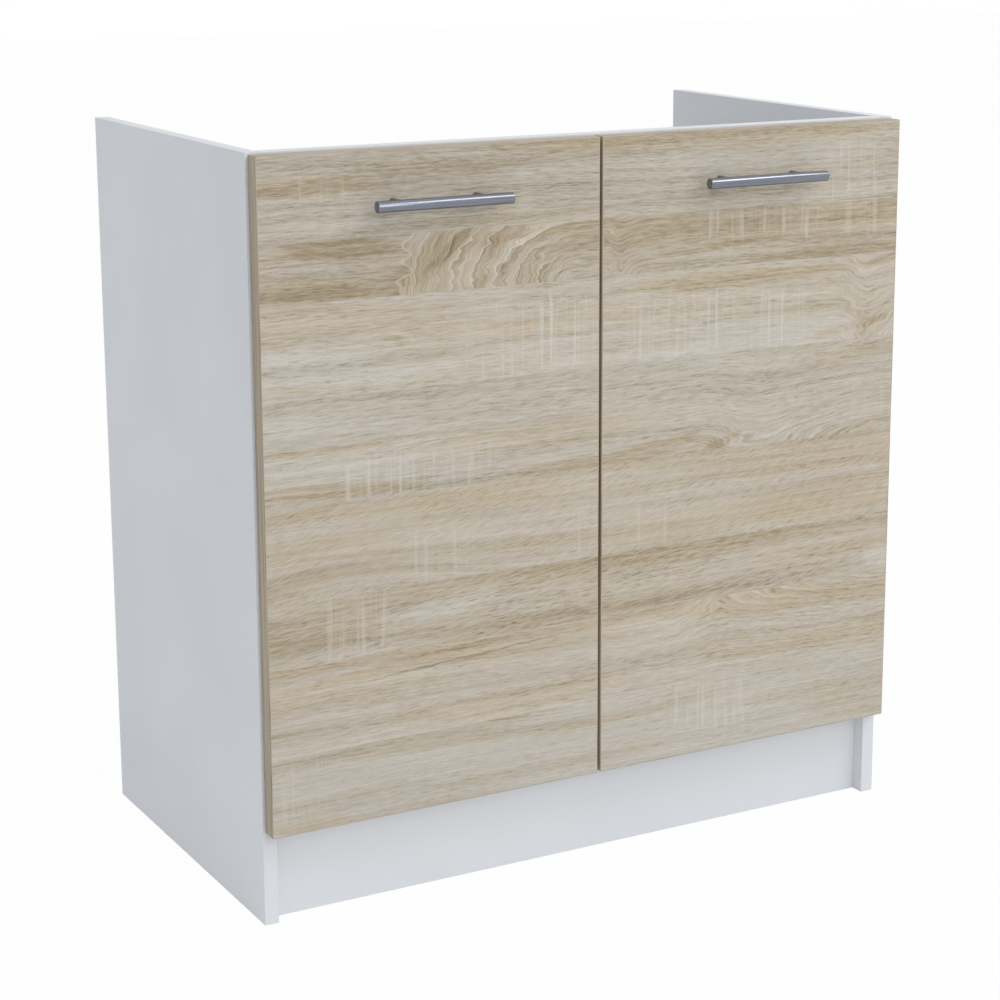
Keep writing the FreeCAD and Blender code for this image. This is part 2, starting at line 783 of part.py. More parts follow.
bar_start = Vector(-door_mid_x - handle_length / 2, bar_y, handle_z)
bar = rod(bar_start, AXIS_X, handle_bar_d / 2, handle_length)
bar = bar.makeChamfer(handle_chamfer, bar.Edges)
bar_room = rod(bar_start, AXIS_X, handle_bar_d / 2 + snug_fit, handle_length)
posts = []
handle_screws = []
door_cuts = []
seat_y = door_back_y - handle_head_h - loose_fit
for way in (-1, 1):
    post_foot = Vector(-door_mid_x + way * handle_spacing / 2, door_face_y, handle_z)
    post = peg(post_foot, FORWARD, handle_post_d / 2, door_face_y - bar_y, post_sides)
    thread = peg(post_foot, FORWARD, handle_screw_d / 2 + snug_fit,
                 handle_screw_depth + bore_spare, fastener_sides)
    posts.append(post.cut(bar_room).cut(thread))
    seat = Vector(post_foot.x, seat_y, handle_z)
    handle_screws.append(pan_screw(seat, FORWARD, handle_head_d, handle_head_h, handle_screw_d,
                                   seat_y - door_face_y + handle_screw_depth))
    behind = Vector(post_foot.x, door_back_y + overrun, handle_z)
    door_cuts.append(peg(behind, FORWARD, handle_screw_d / 2 + hole_play,
                         door_thickness + 2 * overrun, fastener_sides))
    door_cuts.append(peg(behind, FORWARD, handle_head_d / 2 + hole_play,
                         overrun + door_back_y - seat_y, fastener_sides))

# Doors: a board with four glued edge bands, bored for its two hinge cups, and two soft
# bumpers near the free edge that close on the front rail and on the bottom panel
edge_band_t = 1.0
bumper_d = 8.0
bumper_t = 1.2
bumper_inset = 14.0
bumper_top_share = 0.75

core_x0 = -door_outer_x + edge_band_t
core_x1 = -door_inner_x - edge_band_t
core_z0 = door_bottom + edge_band_t
core_z1 = door_top - edge_band_t
door = block(core_x0, core_x1, door_face_y, door_back_y, core_z0, core_z1)
door = door.cut(on_levels(make_cup_cuts()) + door_cuts)
edge_bands = [
    block(-door_outer_x, core_x0, door_face_y, door_back_y, door_bottom, door_top),
    block(core_x1, -door_inner_x, door_face_y, door_back_y, door_bottom, door_top),
    block(core_x0, core_x1, door_face_y, door_back_y, door_bottom, core_z0),
    block(core_x0, core_x1, door_face_y, door_back_y, core_z1, door_top),
]
bumpers = []
for bumper_z in ((door_bottom + floor_top) / 2, door_top - bumper_inset):
    bumper_start = Vector(-door_inner_x - bumper_inset, door_back_y, bumper_z)
    bumpers.append(turned([(0, bumper_d / 2), (bumper_t, bumper_d / 2 * bumper_top_share)],
                          bumper_start, AXIS_Y, ear_sides))

for node, shapes in (("door_panel", [door]), ("door_edge_bands", edge_bands),
                     ("door_bumpers", bumpers), ("handle_bar", [bar]),
                     ("handle_posts", posts), ("handle_screws", handle_screws)):
    save("left_" + node, shapes)
    save("right_" + node, mirrored(shapes))
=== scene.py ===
import math

import bmesh
import bpy
from mathutils import Matrix, Vector


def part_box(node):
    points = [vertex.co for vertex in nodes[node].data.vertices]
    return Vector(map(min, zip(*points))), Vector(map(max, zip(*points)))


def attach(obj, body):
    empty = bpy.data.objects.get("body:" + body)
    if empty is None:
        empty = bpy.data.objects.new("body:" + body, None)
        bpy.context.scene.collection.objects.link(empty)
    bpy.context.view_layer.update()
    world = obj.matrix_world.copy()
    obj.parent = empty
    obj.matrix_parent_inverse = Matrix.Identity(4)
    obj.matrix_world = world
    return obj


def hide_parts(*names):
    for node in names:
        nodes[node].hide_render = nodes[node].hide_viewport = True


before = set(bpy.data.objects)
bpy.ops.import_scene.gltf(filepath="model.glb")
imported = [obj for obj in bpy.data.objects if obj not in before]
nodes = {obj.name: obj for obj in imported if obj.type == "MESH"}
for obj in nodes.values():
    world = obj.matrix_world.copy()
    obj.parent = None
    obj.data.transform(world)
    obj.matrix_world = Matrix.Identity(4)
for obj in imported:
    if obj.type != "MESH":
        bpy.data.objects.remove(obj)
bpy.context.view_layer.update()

# Side panels: 16 mm chipboard faced with white melamine, edged on all sides but the foot.
# They run from the floor to the worktop and carry every cross board. The arrises are eased
# by the edge trimmer, and the facing has the fine orange peel of a press plate.

MELAMINE_WHITE = (0.800, 0.812, 0.828)
MELAMINE_SHADE = (0.765, 0.777, 0.795)
CHIP_PALE = (0.54, 0.43, 0.29)
CHIP_DARK = (0.27, 0.19, 0.11)
ARRIS = 0.0005
FLAT_DEG = 0.5
FACING = 0.00035
WELD = 0.000002
SIDES = ("left", "right")

# Patterns of a finish are noise: scale per metre, detail and roughness. A span holds the
# values of the noise between which the finish goes from one look to the other.
CHIPS = (260, 3, 0.7)
CHIP_FLATNESS = 2.2
CHIP_SPAN = (0.38, 0.64)
WHITE_CAST = (3.5, 2)
CAST_SPAN = (0.35, 0.70)
GLOSS_HAZE = (9, 3)
HAZE_SPAN = (0.3, 0.7)
MELAMINE_ROUGHNESS = (0.38, 0.46)
PEEL = (1400, 1)
PEEL_DEPTH = 0.00002
PEEL_STRENGTH = 0.5

# Sockets of a colour mix
MIX_SHARE, MIX_FIRST, MIX_SECOND = 0, 6, 7
MIX_COLOUR = 2


def new_finish(name, **fixed):
    """A finish with its surface node, and the values that are the same all over."""
    finish = bpy.data.materials.new(name)
    finish.use_nodes = True
    surface = finish.node_tree.nodes["Principled BSDF"]
    for socket, value in fixed.items():
        surface.inputs[socket.replace("_", " ")].default_value = value
    return finish, surface


def feed(finish, socket, value):
    """Gives a socket its value, which may be a number, a colour or another node's output."""
    if isinstance(value, bpy.types.NodeSocket):
        finish.node_tree.links.new(value, socket)
    elif socket.type == "RGBA":
        socket.default_value = (*value, 1)
    else:
        socket.default_value = value


def work(finish, operation, *terms, clamp=False):
    """One sum on numbers or outputs."""
    node = finish.node_tree.nodes.new("ShaderNodeMath")
    node.operation = operation
    node.use_clamp = clamp
    for place, term in enumerate(terms):
        feed(finish, node.inputs[place], term)
    return node.outputs[0]


def place_of(finish):
    """The three coordinates of a point in the part's own frame."""
    place = finish.node_tree.nodes.new("ShaderNodeTexCoord")
    split = finish.node_tree.nodes.new("ShaderNodeSeparateXYZ")
    feed(finish, split.inputs[0], place.outputs["Object"])
    return split.outputs


def point(finish, x, y, z):
    """A point made from three coordinates."""
    made = finish.node_tree.nodes.new("ShaderNodeCombineXYZ")
    for socket, value in zip(made.inputs, (x, y, z)):
        feed(finish, socket, value)
    return made.outputs[0]


def stretched(finish, place, x, y, z):
    """A point whose three coordinates are scaled, for a pattern that runs one way."""
    sized = [work(finish, "MULTIPLY", axis, size) for axis, size in zip(place, (x, y, z))]
    return point(finish, *sized)


def cloud(finish, place, scale, detail=2.0, rough=0.5):
    """Soft noise from 0 to 1."""
    node = finish.node_tree.nodes.new("ShaderNodeTexNoise")
    feed(finish, node.inputs["Vector"], place)
    node.inputs["Scale"].default_value = scale
    node.inputs["Detail"].default_value = detail
    node.inputs["Roughness"].default_value = rough
    return node.outputs[0]


def between(finish, value, low, high, to_low=0.0, to_high=1.0):
    """Value taken from the span low..high to the span to_low..to_high, with soft ends."""
    node = finish.node_tree.nodes.new("ShaderNodeMapRange")
    node.interpolation_type = "SMOOTHSTEP"
    for socket, number in zip(node.inputs, (value, low, high, to_low, to_high)):
        feed(finish, socket, number)
    return node.outputs[0]


def blend(finish, share, first, second, mode="MIX"):
    """The first colour, with a share of the second laid over it."""
    node = finish.node_tree.nodes.new("ShaderNodeMix")
    node.data_type = "RGBA"
    node.blend_type = mode
    feed(finish, node.inputs[MIX_SHARE], share)
    feed(finish, node.inputs[MIX_FIRST], first)
    feed(finish, node.inputs[MIX_SECOND], second)
    return node.outputs[MIX_COLOUR]


def bump(finish, surface, height, depth, strength):
    """Relief that stands up by the depth, in metres, where the height is 1."""
    node = finish.node_tree.nodes.new("ShaderNodeBump")
    node.inputs["Strength"].default_value = strength
    node.inputs["Distance"].default_value = depth
    feed(finish, node.inputs["Height"], height)
    feed(finish, surface.inputs["Normal"], node.outputs[0])


def chip_colour(finish, place):
    """Pressed wood chips, as they show in a bore or on a bare edge."""
    chips = cloud(finish, stretched(finish, place, 1, CHIP_FLATNESS, CHIP_FLATNESS), *CHIPS)
    return blend(finish, between(finish, chips, *CHIP_SPAN), CHIP_DARK, CHIP_PALE)


def facing_share(finish, place, low, high, bare):
    """1 on the faced and edged sides of a board, 0 in its bores and on its bare sides."""
    nearest = 1.0
    for axis, name in enumerate("xyz"):
        for side, plane in (("low", low[axis]), ("high", high[axis])):
            if side + "_" + name not in bare:
                away = work(finish, "ABSOLUTE", work(finish, "SUBTRACT", place[axis], plane))
                nearest = work(finish, "MINIMUM", nearest, away)
    return work(finish, "LESS_THAN", nearest, FACING)


def melamine(node_name, bare=()):
    """White facing of a board, with the chips on its bare sides and in its bores."""
    finish, surface = new_finish("melamine_" + node_name, IOR=1.5)
    place = place_of(finish)
    spot = point(finish, *place)
    low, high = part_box(node_name)
    share = facing_share(finish, place, low, high, bare)
    cast = between(finish, cloud(finish, spot, *WHITE_CAST), *CAST_SPAN)
    white = blend(finish, cast, MELAMINE_WHITE, MELAMINE_SHADE)
    colour = blend(finish, share, chip_colour(finish, place), white)
    feed(finish, surface.inputs["Base Color"], colour)
    haze = cloud(finish, spot, *GLOSS_HAZE)
    smooth = work(finish, "SUBTRACT", 1.0,
                  between(finish, haze, *HAZE_SPAN, *MELAMINE_ROUGHNESS))
    rough = work(finish, "SUBTRACT", 1.0, work(finish, "MULTIPLY", share, smooth))
    feed(finish, surface.inputs["Roughness"], rough)
    bump(finish, surface, cloud(finish, spot, *PEEL), PEEL_DEPTH, PEEL_STRENGTH)
    return finish


def eased(piece, width, segments=2, corner_deg=35):
    """Rounds the sharp arrises of a CAD piece, whose own mesh stays as it is."""
    weld = piece.modifiers.new("weld", "WELD")
    weld.merge_threshold = WELD
    flat = piece.modifiers.new("flat_faces", "DECIMATE")
    flat.decimate_type = "DISSOLVE"
    flat.angle_limit = math.radians(FLAT_DEG)
    edge = piece.modifiers.new("arris", "BEVEL")
    edge.width = width
    edge.segments = segments
    edge.limit_method = "ANGLE"
    edge.angle_limit = math.radians(corner_deg)
    edge.use_clamp_overlap = True
    edge.harden_normals = True


def dress(node_name, finish, arris=None):
    """Gives a CAD piece its finish, and rounds its arrises where a width is given."""
    piece = nodes[node_name]
    piece.data.materials.clear()
    piece.data.materials.append(finish)
    if arris:
        eased(piece, arris)


for side in SIDES:
    panel = side + "_side_panel"
    dress(panel, melamine(panel, bare=("low_z",)), ARRIS)

# Cross boards: a bottom panel, a front rail on edge under the worktop, two rear rails and the
# plinth board, all of the same faced chipboard. Their ends, the rear edge of the bottom panel
# and the lower edge of the front rail are bare.

for board, bare in (("bottom_panel", ("high_y",)), ("front_top_rail", ("low_z",)),
                    ("rear_upper_rail", ()), ("rear_lower_rail", ()), ("plinth_board", ())):
    dress(board, melamine(board, bare=bare + ("low_x", "high_x")), ARRIS)

# Cam connectors and dowels: cast zinc cams let into the boards, which draw in the heads of
# bolts screwed into the sides, and glued beech dowels that keep the joints in line.

ZINC = (0.56, 0.56, 0.54)
ZINC_DULL = (0.40, 0.40, 0.39)
ZINC_ROUGHNESS = 0.38
PLATE_CLOUDS = (220, 4, 0.6)
PLATE_SHEEN_SPAN = (0.25, 0.75)
PLATE_SHEEN_STEP = 0.12
PLATE_GRAIN = (2600, 2)
PLATE_GRAIN_DEPTH = 0.00001
PLATE_GRAIN_STRENGTH = 0.5


def plated(name, bright, dull, roughness):
    """Zinc or nickel plate with a slightly cloudy grain."""
    finish, surface = new_finish(name, Metallic=1.0)
    spot = point(finish, *place_of(finish))
    haze = cloud(finish, spot, *PLATE_CLOUDS)
    colour = blend(finish, between(finish, haze, *HAZE_SPAN), bright, dull)
    feed(finish, surface.inputs["Base Color"], colour)
    sheen = between(finish, haze, *PLATE_SHEEN_SPAN, roughness, roughness + PLATE_SHEEN_STEP)
    feed(finish, surface.inputs["Roughness"], sheen)
    bump(finish, surface, cloud(finish, spot, *PLATE_GRAIN), PLATE_GRAIN_DEPTH,
         PLATE_GRAIN_STRENGTH)
    return finish


def new_piece(name, mesh_work, finish, body, stands_for):
    """A piece of the object made from a bmesh, riding on its body and standing for a CAD node."""
    mesh = bpy.data.meshes.new(name)
    bmesh.ops.recalc_face_normals(mesh_work, faces=mesh_work.faces)
    mesh_work.to_mesh(mesh)
    mesh_work.free()
    piece = bpy.data.objects.new(name, mesh)
    bpy.context.scene.collection.objects.link(piece)
    mesh.materials.append(finish)
    for face in mesh.polygons:
        face.use_smooth = True
    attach(piece, body)
    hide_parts(stands_for)
    return piece


def smooth_by_angle(piece, limit_deg=35):
    """Keeps edges sharper than the limit as edges in a smoothly shaded piece."""
    edge = piece.modifiers.new("sharp_edges", "EDGE_SPLIT")
    edge.split_angle = math.radians(limit_deg)


def lathe(made, profile, start, along, sides):
    """Adds a turned body through (distance along, radius) points, and returns its rings."""
    turn = along.to_track_quat("Z", "Y").to_matrix()
    rings = []
    for distance, radius in profile:
        middle = start + along * distance
        ring = []
        for number in range(sides if radius else 1):
            angle = 2 * math.pi * number / sides
            offset = turn @ Vector((radius * math.cos(angle), radius * math.sin(angle), 0))
            ring.append(made.verts.new(middle + offset))
        rings.append(ring)
    for ring, following in zip(rings, rings[1:]):
        for number in range(sides):
            beside = (number + 1) % sides
            if len(ring) == 1:
                made.faces.new((ring[0], following[beside], following[number]))
            elif len(following) == 1:
                made.faces.new((ring[number], ring[beside], following[0]))
            else:
                made.faces.new((ring[number], ring[beside], following[beside],
                                following[number]))
    return rings


RECESS_SIZE = 0.56
RECESS_WIDTH = 0.26
RECESS_TAPER = 0.55
RECESS_DEPTH = 0.45


def filled(made, loops):
    """Closes a flat outline, the first loop, that may have holes, the other loops."""
    edges = []
    for loop in loops:
        for vert, beside in zip(loop, loop[1:] + loop[:1]):
            edges.append(made.edges.get((vert, beside)) or made.edges.new((vert, beside)))
    bmesh.ops.triangle_fill(made, use_beauty=True, edges=edges)


def crossed_top(made, ring, along, radius):
    """Closes the top of a head with a face that has a cross recess for the driver."""
    middle = sum((vert.co for vert in ring), Vector()) / len(ring)
    turn = along.to_track_quat("Z", "Y").to_matrix()
    far = radius * RECESS_SIZE
    near = far * RECESS_WIDTH
    outline = []
    for quarter in range(4):
        spin = Matrix.Rotation(quarter * math.pi / 2, 3, "Z")
        outline.extend(spin @ Vector(corner) for corner in ((far, -near, 0), (far, near, 0),
                                                            (near, near, 0)))
    bottom = Vector((0, 0, radius * RECESS_DEPTH))
    upper = [made.verts.new(middle + turn @ corner) for corner in outline]
    lower = [made.verts.new(middle + turn @ (corner * RECESS_TAPER + bottom))
             for corner in outline]
    filled(made, [ring, upper])
    count = len(outline)
    for number in range(count):
        beside = (number + 1) % count
        made.faces.new((upper[number], upper[beside], lower[beside], lower[number]))
    made.faces.new(lower)


def loose_parts(node_name):
    """Corner points of each separate solid of a CAD piece."""
    made = bmesh.new()
    made.from_mesh(nodes[node_name].data)
    bmesh.ops.remove_doubles(made, verts=made.verts, dist=WELD)
    seen = set()
    parts = []
    for first in made.verts:
        if first in seen:
            continue
        seen.add(first)
        front = [first]
        part = []
        while front:
            vert = front.pop()
            part.append(vert.co.copy())
            for edge in vert.link_edges:
                other = edge.other_vert(vert)
                if other not in seen:
                    seen.add(other)
                    front.append(other)
        parts.append(part)
    made.free()
    return parts


def box_of(part):
    """Lowest and highest corner of the box round a set of points."""
    low = Vector([min(corner[axis] for corner in part) for axis in range(3)])
    high = Vector([max(corner[axis] for corner in part) for axis in range(3)])
    return low, high


CAM_SIDES = 48
CAM_ROUND = 0.0003
BOLT_ARRIS = 0.0001

zinc = plated("cast_zinc", ZINC, ZINC_DULL, ZINC_ROUGHNESS)
made = bmesh.new()
for part in loose_parts("cam_locks"):
    low, high = box_of(part)
    size = high - low
    radius = size.x / 2
    along, depth = Vector((0, 0, 1)), size.z
    if size.y < size.x - ARRIS:
        along, depth = Vector((0, -1, 0)), size.y
    face = (low + high) / 2 - along * depth / 2
    rings = lathe(made, [(0, radius - CAM_ROUND), (CAM_ROUND, radius), (depth, radius),
                         (depth, 0)], face, along, CAM_SIDES)
    crossed_top(made, rings[0], along, radius)
cams = new_piece("zinc_cams", made, zinc, "carcass", "cam_locks")
smooth_by_angle(cams)
dress("cam_bolts", zinc, BOLT_ARRIS)

BEECH_PALE = (0.58, 0.41, 0.25)
BEECH_DARK = (0.43, 0.27, 0.14)
BEECH_FIBRES = (30, 700, 700)
BEECH_DETAIL = 3
BEECH_FIBRE_DEPTH = 0.0001
BEECH_FIBRE_STRENGTH = 0.6

beech, surface = new_finish("beech", Roughness=0.65)
fibres = cloud(beech, stretched(beech, place_of(beech), *BEECH_FIBRES), 1, BEECH_DETAIL)
feed(beech, surface.inputs["Base Color"], blend(beech, fibres, BEECH_DARK, BEECH_PALE))
bump(beech, surface, fibres, BEECH_FIBRE_DEPTH, BEECH_FIBRE_STRENGTH)
dress("wooden_dowels", beech)

# Plinth brackets: white moulded corner brackets, screwed to the plinth, the sides and the
# bottom panel with countersunk chipboard screws.

NYLON_WHITE = (0.74, 0.745, 0.73)
NYLON_SHADE = (0.70, 0.705, 0.69)
NYLON_ROUGHNESS = 0.42
NYLON_CLOUDS = (60, 3)
NYLON_SHEEN_STEP = 0.1
NYLON_GRAIN = (1800, 2)
NYLON_GRAIN_DEPTH = 0.00002
NYLON_GRAIN_STRENGTH = 0.6
NYLON_ARRIS = 0.0003
SCREW_SIDES = 32
ROUND_PLACES = 5
RING_SLACK = WELD * 5
X_AXIS, Y_AXIS, Z_AXIS = range(3)


def turned_profile(part, axis):
    """Start, direction and profile of a turned solid, read from its wide end to its tip."""
    low, high = box_of(part)
    if axis is None:
        axis = max(range(3), key=lambda number: high[number] - low[number])
    middle = (low + high) / 2
    along = Vector((0, 0, 0))
    along[axis] = 1.0
    rings = set()
    for corner in part:
        away = corner - middle
        distance = away[axis]
        away[axis] = 0
        rings.add((round(distance, ROUND_PLACES), round(away.length, ROUND_PLACES)))
    reach = max(distance for distance, radius in rings)
    width_low = max(radius for distance, radius in rings if distance < RING_SLACK - reach)
    width_high = max(radius for distance, radius in rings if distance > reach - RING_SLACK)
    tie = abs(width_low - width_high) < RING_SLACK
    if width_high > width_low or (tie and abs(high[axis]) < abs(low[axis])):
        rings = {(-distance, radius) for distance, radius in rings}
        along = -along
    profile = sorted(rings, key=lambda ring: (ring[0], -ring[1]))
    first = profile[0][0]
    return (middle + along * first, along,
            [(distance - first, radius) for distance, radius in profile])


def round_pieces(name, node_name, finish, body, axis=None, recess=True):
    """The turned solids of a CAD piece, made truly round, with a cross recess in each head."""
    made = bmesh.new()
    for part in loose_parts(node_name):
        start, along, profile = turned_profile(part, axis)
        last = profile[-1][0]
        if recess:
            rings = lathe(made, profile + [(last, 0)], start, along, SCREW_SIDES)
            crossed_top(made, rings[0], along, profile[0][1])
        else:
            lathe(made, [(0, 0)] + profile + [(last, 0)], start, along, SCREW_SIDES)
    smooth_by_angle(new_piece(name, made, finish, body, node_name))


nylon, surface = new_finish("white_nylon", Subsurface_Weight=0.05)
spot = point(nylon, *place_of(nylon))
haze = cloud(nylon, spot, *NYLON_CLOUDS)
feed(nylon, surface.inputs["Base Color"], blend(nylon, haze, NYLON_WHITE, NYLON_SHADE))
feed(nylon, surface.inputs["Roughness"],
     between(nylon, haze, *HAZE_SPAN, NYLON_ROUGHNESS, NYLON_ROUGHNESS + NYLON_SHEEN_STEP))
bump(nylon, surface, cloud(nylon, spot, *NYLON_GRAIN), NYLON_GRAIN_DEPTH, NYLON_GRAIN_STRENGTH)
dress("plinth_brackets", nylon, NYLON_ARRIS)
round_pieces("bracket_screws", "plinth_bracket_screws", zinc, "carcass")

# Concealed cup hinges: pressed steel, nickel plated. The plate is screwed to the side, the
# arm is clamped on its rib, and two links carry the cup, which is let into the door.

NICKEL = (0.66, 0.65, 0.62)
NICKEL_DULL = (0.54, 0.53, 0.50)
NICKEL_ROUGHNESS = 0.24
PLATE_ARRIS = 0.0002
LINK_ARRIS = 0.0001

CUP_SIDES = 96
CUP_WALL = 0.0009
CUP_RIM = 0.0007
CUP_ROUND = 0.0010
CUP_EDGE = 0.00015
FLANGE = 0.0010
EAR_RADIUS = 0.0060
EAR_INSET = 0.0060
CUP_SCREW_PITCH = 0.048
CUP_SCREW_RADIUS = 0.0032
SCREW_PLAY = 0.00004
CHEEK = 0.0012
CHEEK_GAP = 0.0067
CHEEK_DROP = 0.0018
EAR_STEPS = 24


def pressed(made, outline, holes, step):
    """Adds a flat plate: a closed outline with closed holes, pushed out by the vector step."""
    loops = [[[made.verts.new(corner + lift) for corner in loop] for loop in [outline] + holes]
             for lift in (Vector((0, 0, 0)), step)]
    for level in loops:
        filled(made, level)
    for near, far in zip(*loops):
        count = len(near)
        for number in range(count):
            beside = (number + 1) % count
            made.faces.new((near[number], near[beside], far[beside], far[number]))


def circle(middle, radius, across, up, start_deg=0, end_deg=360, steps=EAR_STEPS):
    """Points of an arc, with its end point left out where it is a full circle."""
    full = end_deg - start_deg == 360
    points = []
    for number in range(steps if full else steps + 1):
        angle = math.radians(start_deg + (end_deg - start_deg) * number / steps)
        offset = across * math.cos(angle) + up * math.sin(angle)
        points.append(middle + offset * radius)
    return points


def hinge_cup(node_name, inner_sign):
    """Deep-drawn bowl with a rim, two screwed ears and two cheeks for the link pins."""
    low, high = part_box(node_name)
    middle = (low + high) / 2
    top = Vector((middle.x, high.y, middle.z))
    into = Vector((0, -1, 0))
    across, up = Vector((inner_sign, 0, 0)), Vector((0, 0, 1))
    rim = (high.x - low.x) / 2
    outer = rim - CUP_RIM
    inner = outer - CUP_WALL
    depth = high.y - low.y
    floor = depth - CUP_WALL
    made = bmesh.new()
    lathe(made, [(floor, 0), (floor, inner - CUP_ROUND), (floor - CUP_ROUND, inner),
                 (CUP_EDGE, inner), (0, inner + CUP_EDGE), (0, rim - CUP_EDGE), (CUP_EDGE, rim),
                 (FLANGE, rim), (FLANGE, outer), (depth - CUP_ROUND, outer),
                 (depth, outer - CUP_ROUND), (depth, 0)], top, into, CUP_SIDES)
    for way in (-1, 1):
        ear = top + across * EAR_INSET + up * (way * CUP_SCREW_PITCH / 2)
        near, far = EAR_INSET - EAR_RADIUS, EAR_INSET + EAR_RADIUS
        root = math.sqrt(rim ** 2 - far ** 2) - CUP_EDGE - CUP_ROUND
        foot = top + up * (way * root)
        outline = circle(ear, EAR_RADIUS, across, up * way, 0, 180, EAR_STEPS // 2)
        outline += [foot + across * near, foot + across * far]
        hole = circle(ear, CUP_SCREW_RADIUS + SCREW_PLAY, across, up)
        pressed(made, outline, [hole], into * FLANGE)
        half = across * math.sqrt(inner ** 2 - (CHEEK_GAP + CHEEK) ** 2)
        cheek = top + into * CHEEK_DROP + up * (way * CHEEK_GAP)
        drop = into * (floor - CHEEK_DROP)
        corners = [cheek - half, cheek + half, cheek + half + drop, cheek - half + drop]
        pressed(made, corners, [], up * (way * CHEEK))
    return made


nickel = plated("nickel_plate", NICKEL, NICKEL_DULL, NICKEL_ROUGHNESS)
for side, inner_sign in zip(SIDES, (1, -1)):
    for level in ("lower", "upper"):
        dress("hinge_plate_" + side + "_" + level, nickel, PLATE_ARRIS)
        dress("hinge_arm_" + side + "_" + level, nickel, PLATE_ARRIS)
        cup_node = side + "_hinge_cup_" + level
        cup = new_piece(side + "_" + level + "_cup", hinge_cup(cup_node, inner_sign), nickel,
                        side + "_door", cup_node)
        smooth_by_angle(cup)
    dress(side + "_outer_links", nickel, LINK_ARRIS)
    dress(side + "_inner_links", nickel, LINK_ARRIS)
    round_pieces(side + "_studs", side + "_outer_link_studs", nickel, side + "_outer_linkage",
                 Z_AXIS, recess=False)
    round_pieces(side + "_tip_pins", side + "_inner_link_pins", nickel, side + "_inner_linkage",
                 Z_AXIS, recess=False)
    round_pieces(side + "_flange_screws", side + "_cup_screws", zinc, side + "_door",
                 Y_AXIS)
round_pieces("plate_screws", "hinge_plate_screws", zinc, "carcass", X_AXIS)
round_pieces("arm_screws", "hinge_arm_screws", zinc, "carcass", X_AXIS)
dress("hinge_arm_pins", nickel)

# Doors: 18 mm chipboard faced on both sides with a printed oak decor, whose planks lie across
# both doors. The print shows eight planks, each with its own grain, tan bands where the grain
# runs flat, and the pale marks that the saw left across them.

OAK_DEEP = (0.225, 0.175, 0.112)
OAK_DARK = (0.365, 0.310, 0.228)
OAK_MIDDLE = (0.497, 0.447, 0.366)
OAK_LIGHT = (0.622, 0.582, 0.515)
OAK_TONES = ((0.0, OAK_DEEP), (0.32, OAK_DARK), (0.60, OAK_MIDDLE), (1.0, OAK_LIGHT))
OAK_TAN_TINT = (0.990, 0.912, 0.792)
OAK_CREST = (0.672, 0.625, 0.540)
SAW_MARK = (0.700, 0.665, 0.590)

# Heights of the plank joints, from the lowest up
PLANK_JOINTS = (0.190, 0.286, 0.357, 0.458, 0.569, 0.667, 0.7305)
# For each plank from the lowest up: lean of its pores, tone, strength of its pores, tan, and
# rings per metre in its nests
PLANKS = (
    (0.50, 0.68, 0.45, 0.06, 150),
    (0.50, 0.64, 0.60, 0.34, 190),
    (0.58, 0.55, 0.85, 0.40, 150),
    (0.68, 0.62, 0.70, 0.38, 150),
    (0.53, 0.60, 0.60, 0.20, 170),
    (0.49, 0.69, 0.60, 0.10, 150),
    (0.50, 0.42, 0.45, 0.33, 62),
    (0.50, 0.42, 0.45, 0.04, 150),
)
DECOR_LOW = 0.100
DECOR_HIGH = 0.900
LEAN_SCALE = 1.5
TONE_SCALE = 0.8
MIDDLE = 0.5
SEED_STEP = 3.05
SEED_GROWTH = 0.65

# Waves of the grain: waves per metre along and across it, height
GRAIN_WAVES = ((1.4, 7, 0.018), (11, 34, 0.0038), (45, 140, 0.0014))
# Other waves: seed, waves per metre along and across the grain, height
WIGGLE = (3.0, 30, 95, 0.024)
RAGGED = (2.4, 14, 62, 0.046)
PATCH_WAVES = ((9.0, 24, 60, 0.006), (5.0, 90, 260, 0.003))
# Patterns of the print: waves per metre along and across the grain, detail and roughness
BROAD = (1.6, 24)
BANDS = (2.6, 95)
RINGS = (7, 380)
FIBRES = (58, 720, 2.0, 0.6)
GRIT = (190, 1400)
PORES = (72, 880)
PORE_CLUSTERS = (9, 30)
TAN_BANDS = (2.2, 38)
RING_DRIFTS = (3, 60)
# What each pattern adds to the tone
BASE_TONE = 0.65
BROAD_TONE = 0.40
BAND_TONE = 0.44
RING_TONE = 0.50
FIBRE_TONE = 0.90
GRIT_TONE = 0.20
PORE_TONE = -0.46
TAN_TONE = -0.26
NEST_TONE = -0.30
# Spans of the patterns, with the shares that some of them are turned into
PORE_SPAN = (0.53, 0.68)
CLUSTER_SPAN = (0.36, 0.62, 0.45, 1.0)
TAN_SPAN = (0.42, 0.66, 0.0, 0.40)
PATCH_SPAN = (0.65, 1.20, 1.0, 0.0)
PATCH_TAN = 0.8
OAK_SHEEN = (0.4, 0.7, 0.50, 0.60)
RING_RELIEF = 0.3
PRINT_DEPTH = 0.00006
PRINT_STRENGTH = 0.5

# Swells bow the grain: middle x, middle z, half length, half height, lift
SWELLS = (
    (-0.290, 0.3570, 0.130, 0.0400, -0.024),
    (-0.040, 0.1800, 0.120, 0.0200, 0.008),
)
SWELL_INSIDE = 0.002
# Nests of arcs round a point on a plank joint: x, z, squash, reach, fade at the far end, side,
# strength of crests
NESTS = (
    (-0.030, 0.6640, 0.64, 0.205, 0.004, 1, 1.00),
    (0.055, 0.6640, 0.75, 0.045, 0.020, 1, 0.60),
    (0.400, 0.4545, 0.20, 0.270, 0.100, 1, 0.80),
    (0.420, 0.2900, 0.12, 0.330, 0.080, -1, 0.90),
    (0.470, 0.5650, 0.40, 0.150, 0.040, 1, 0.55),
)
NEST_INSIDE = 0.006
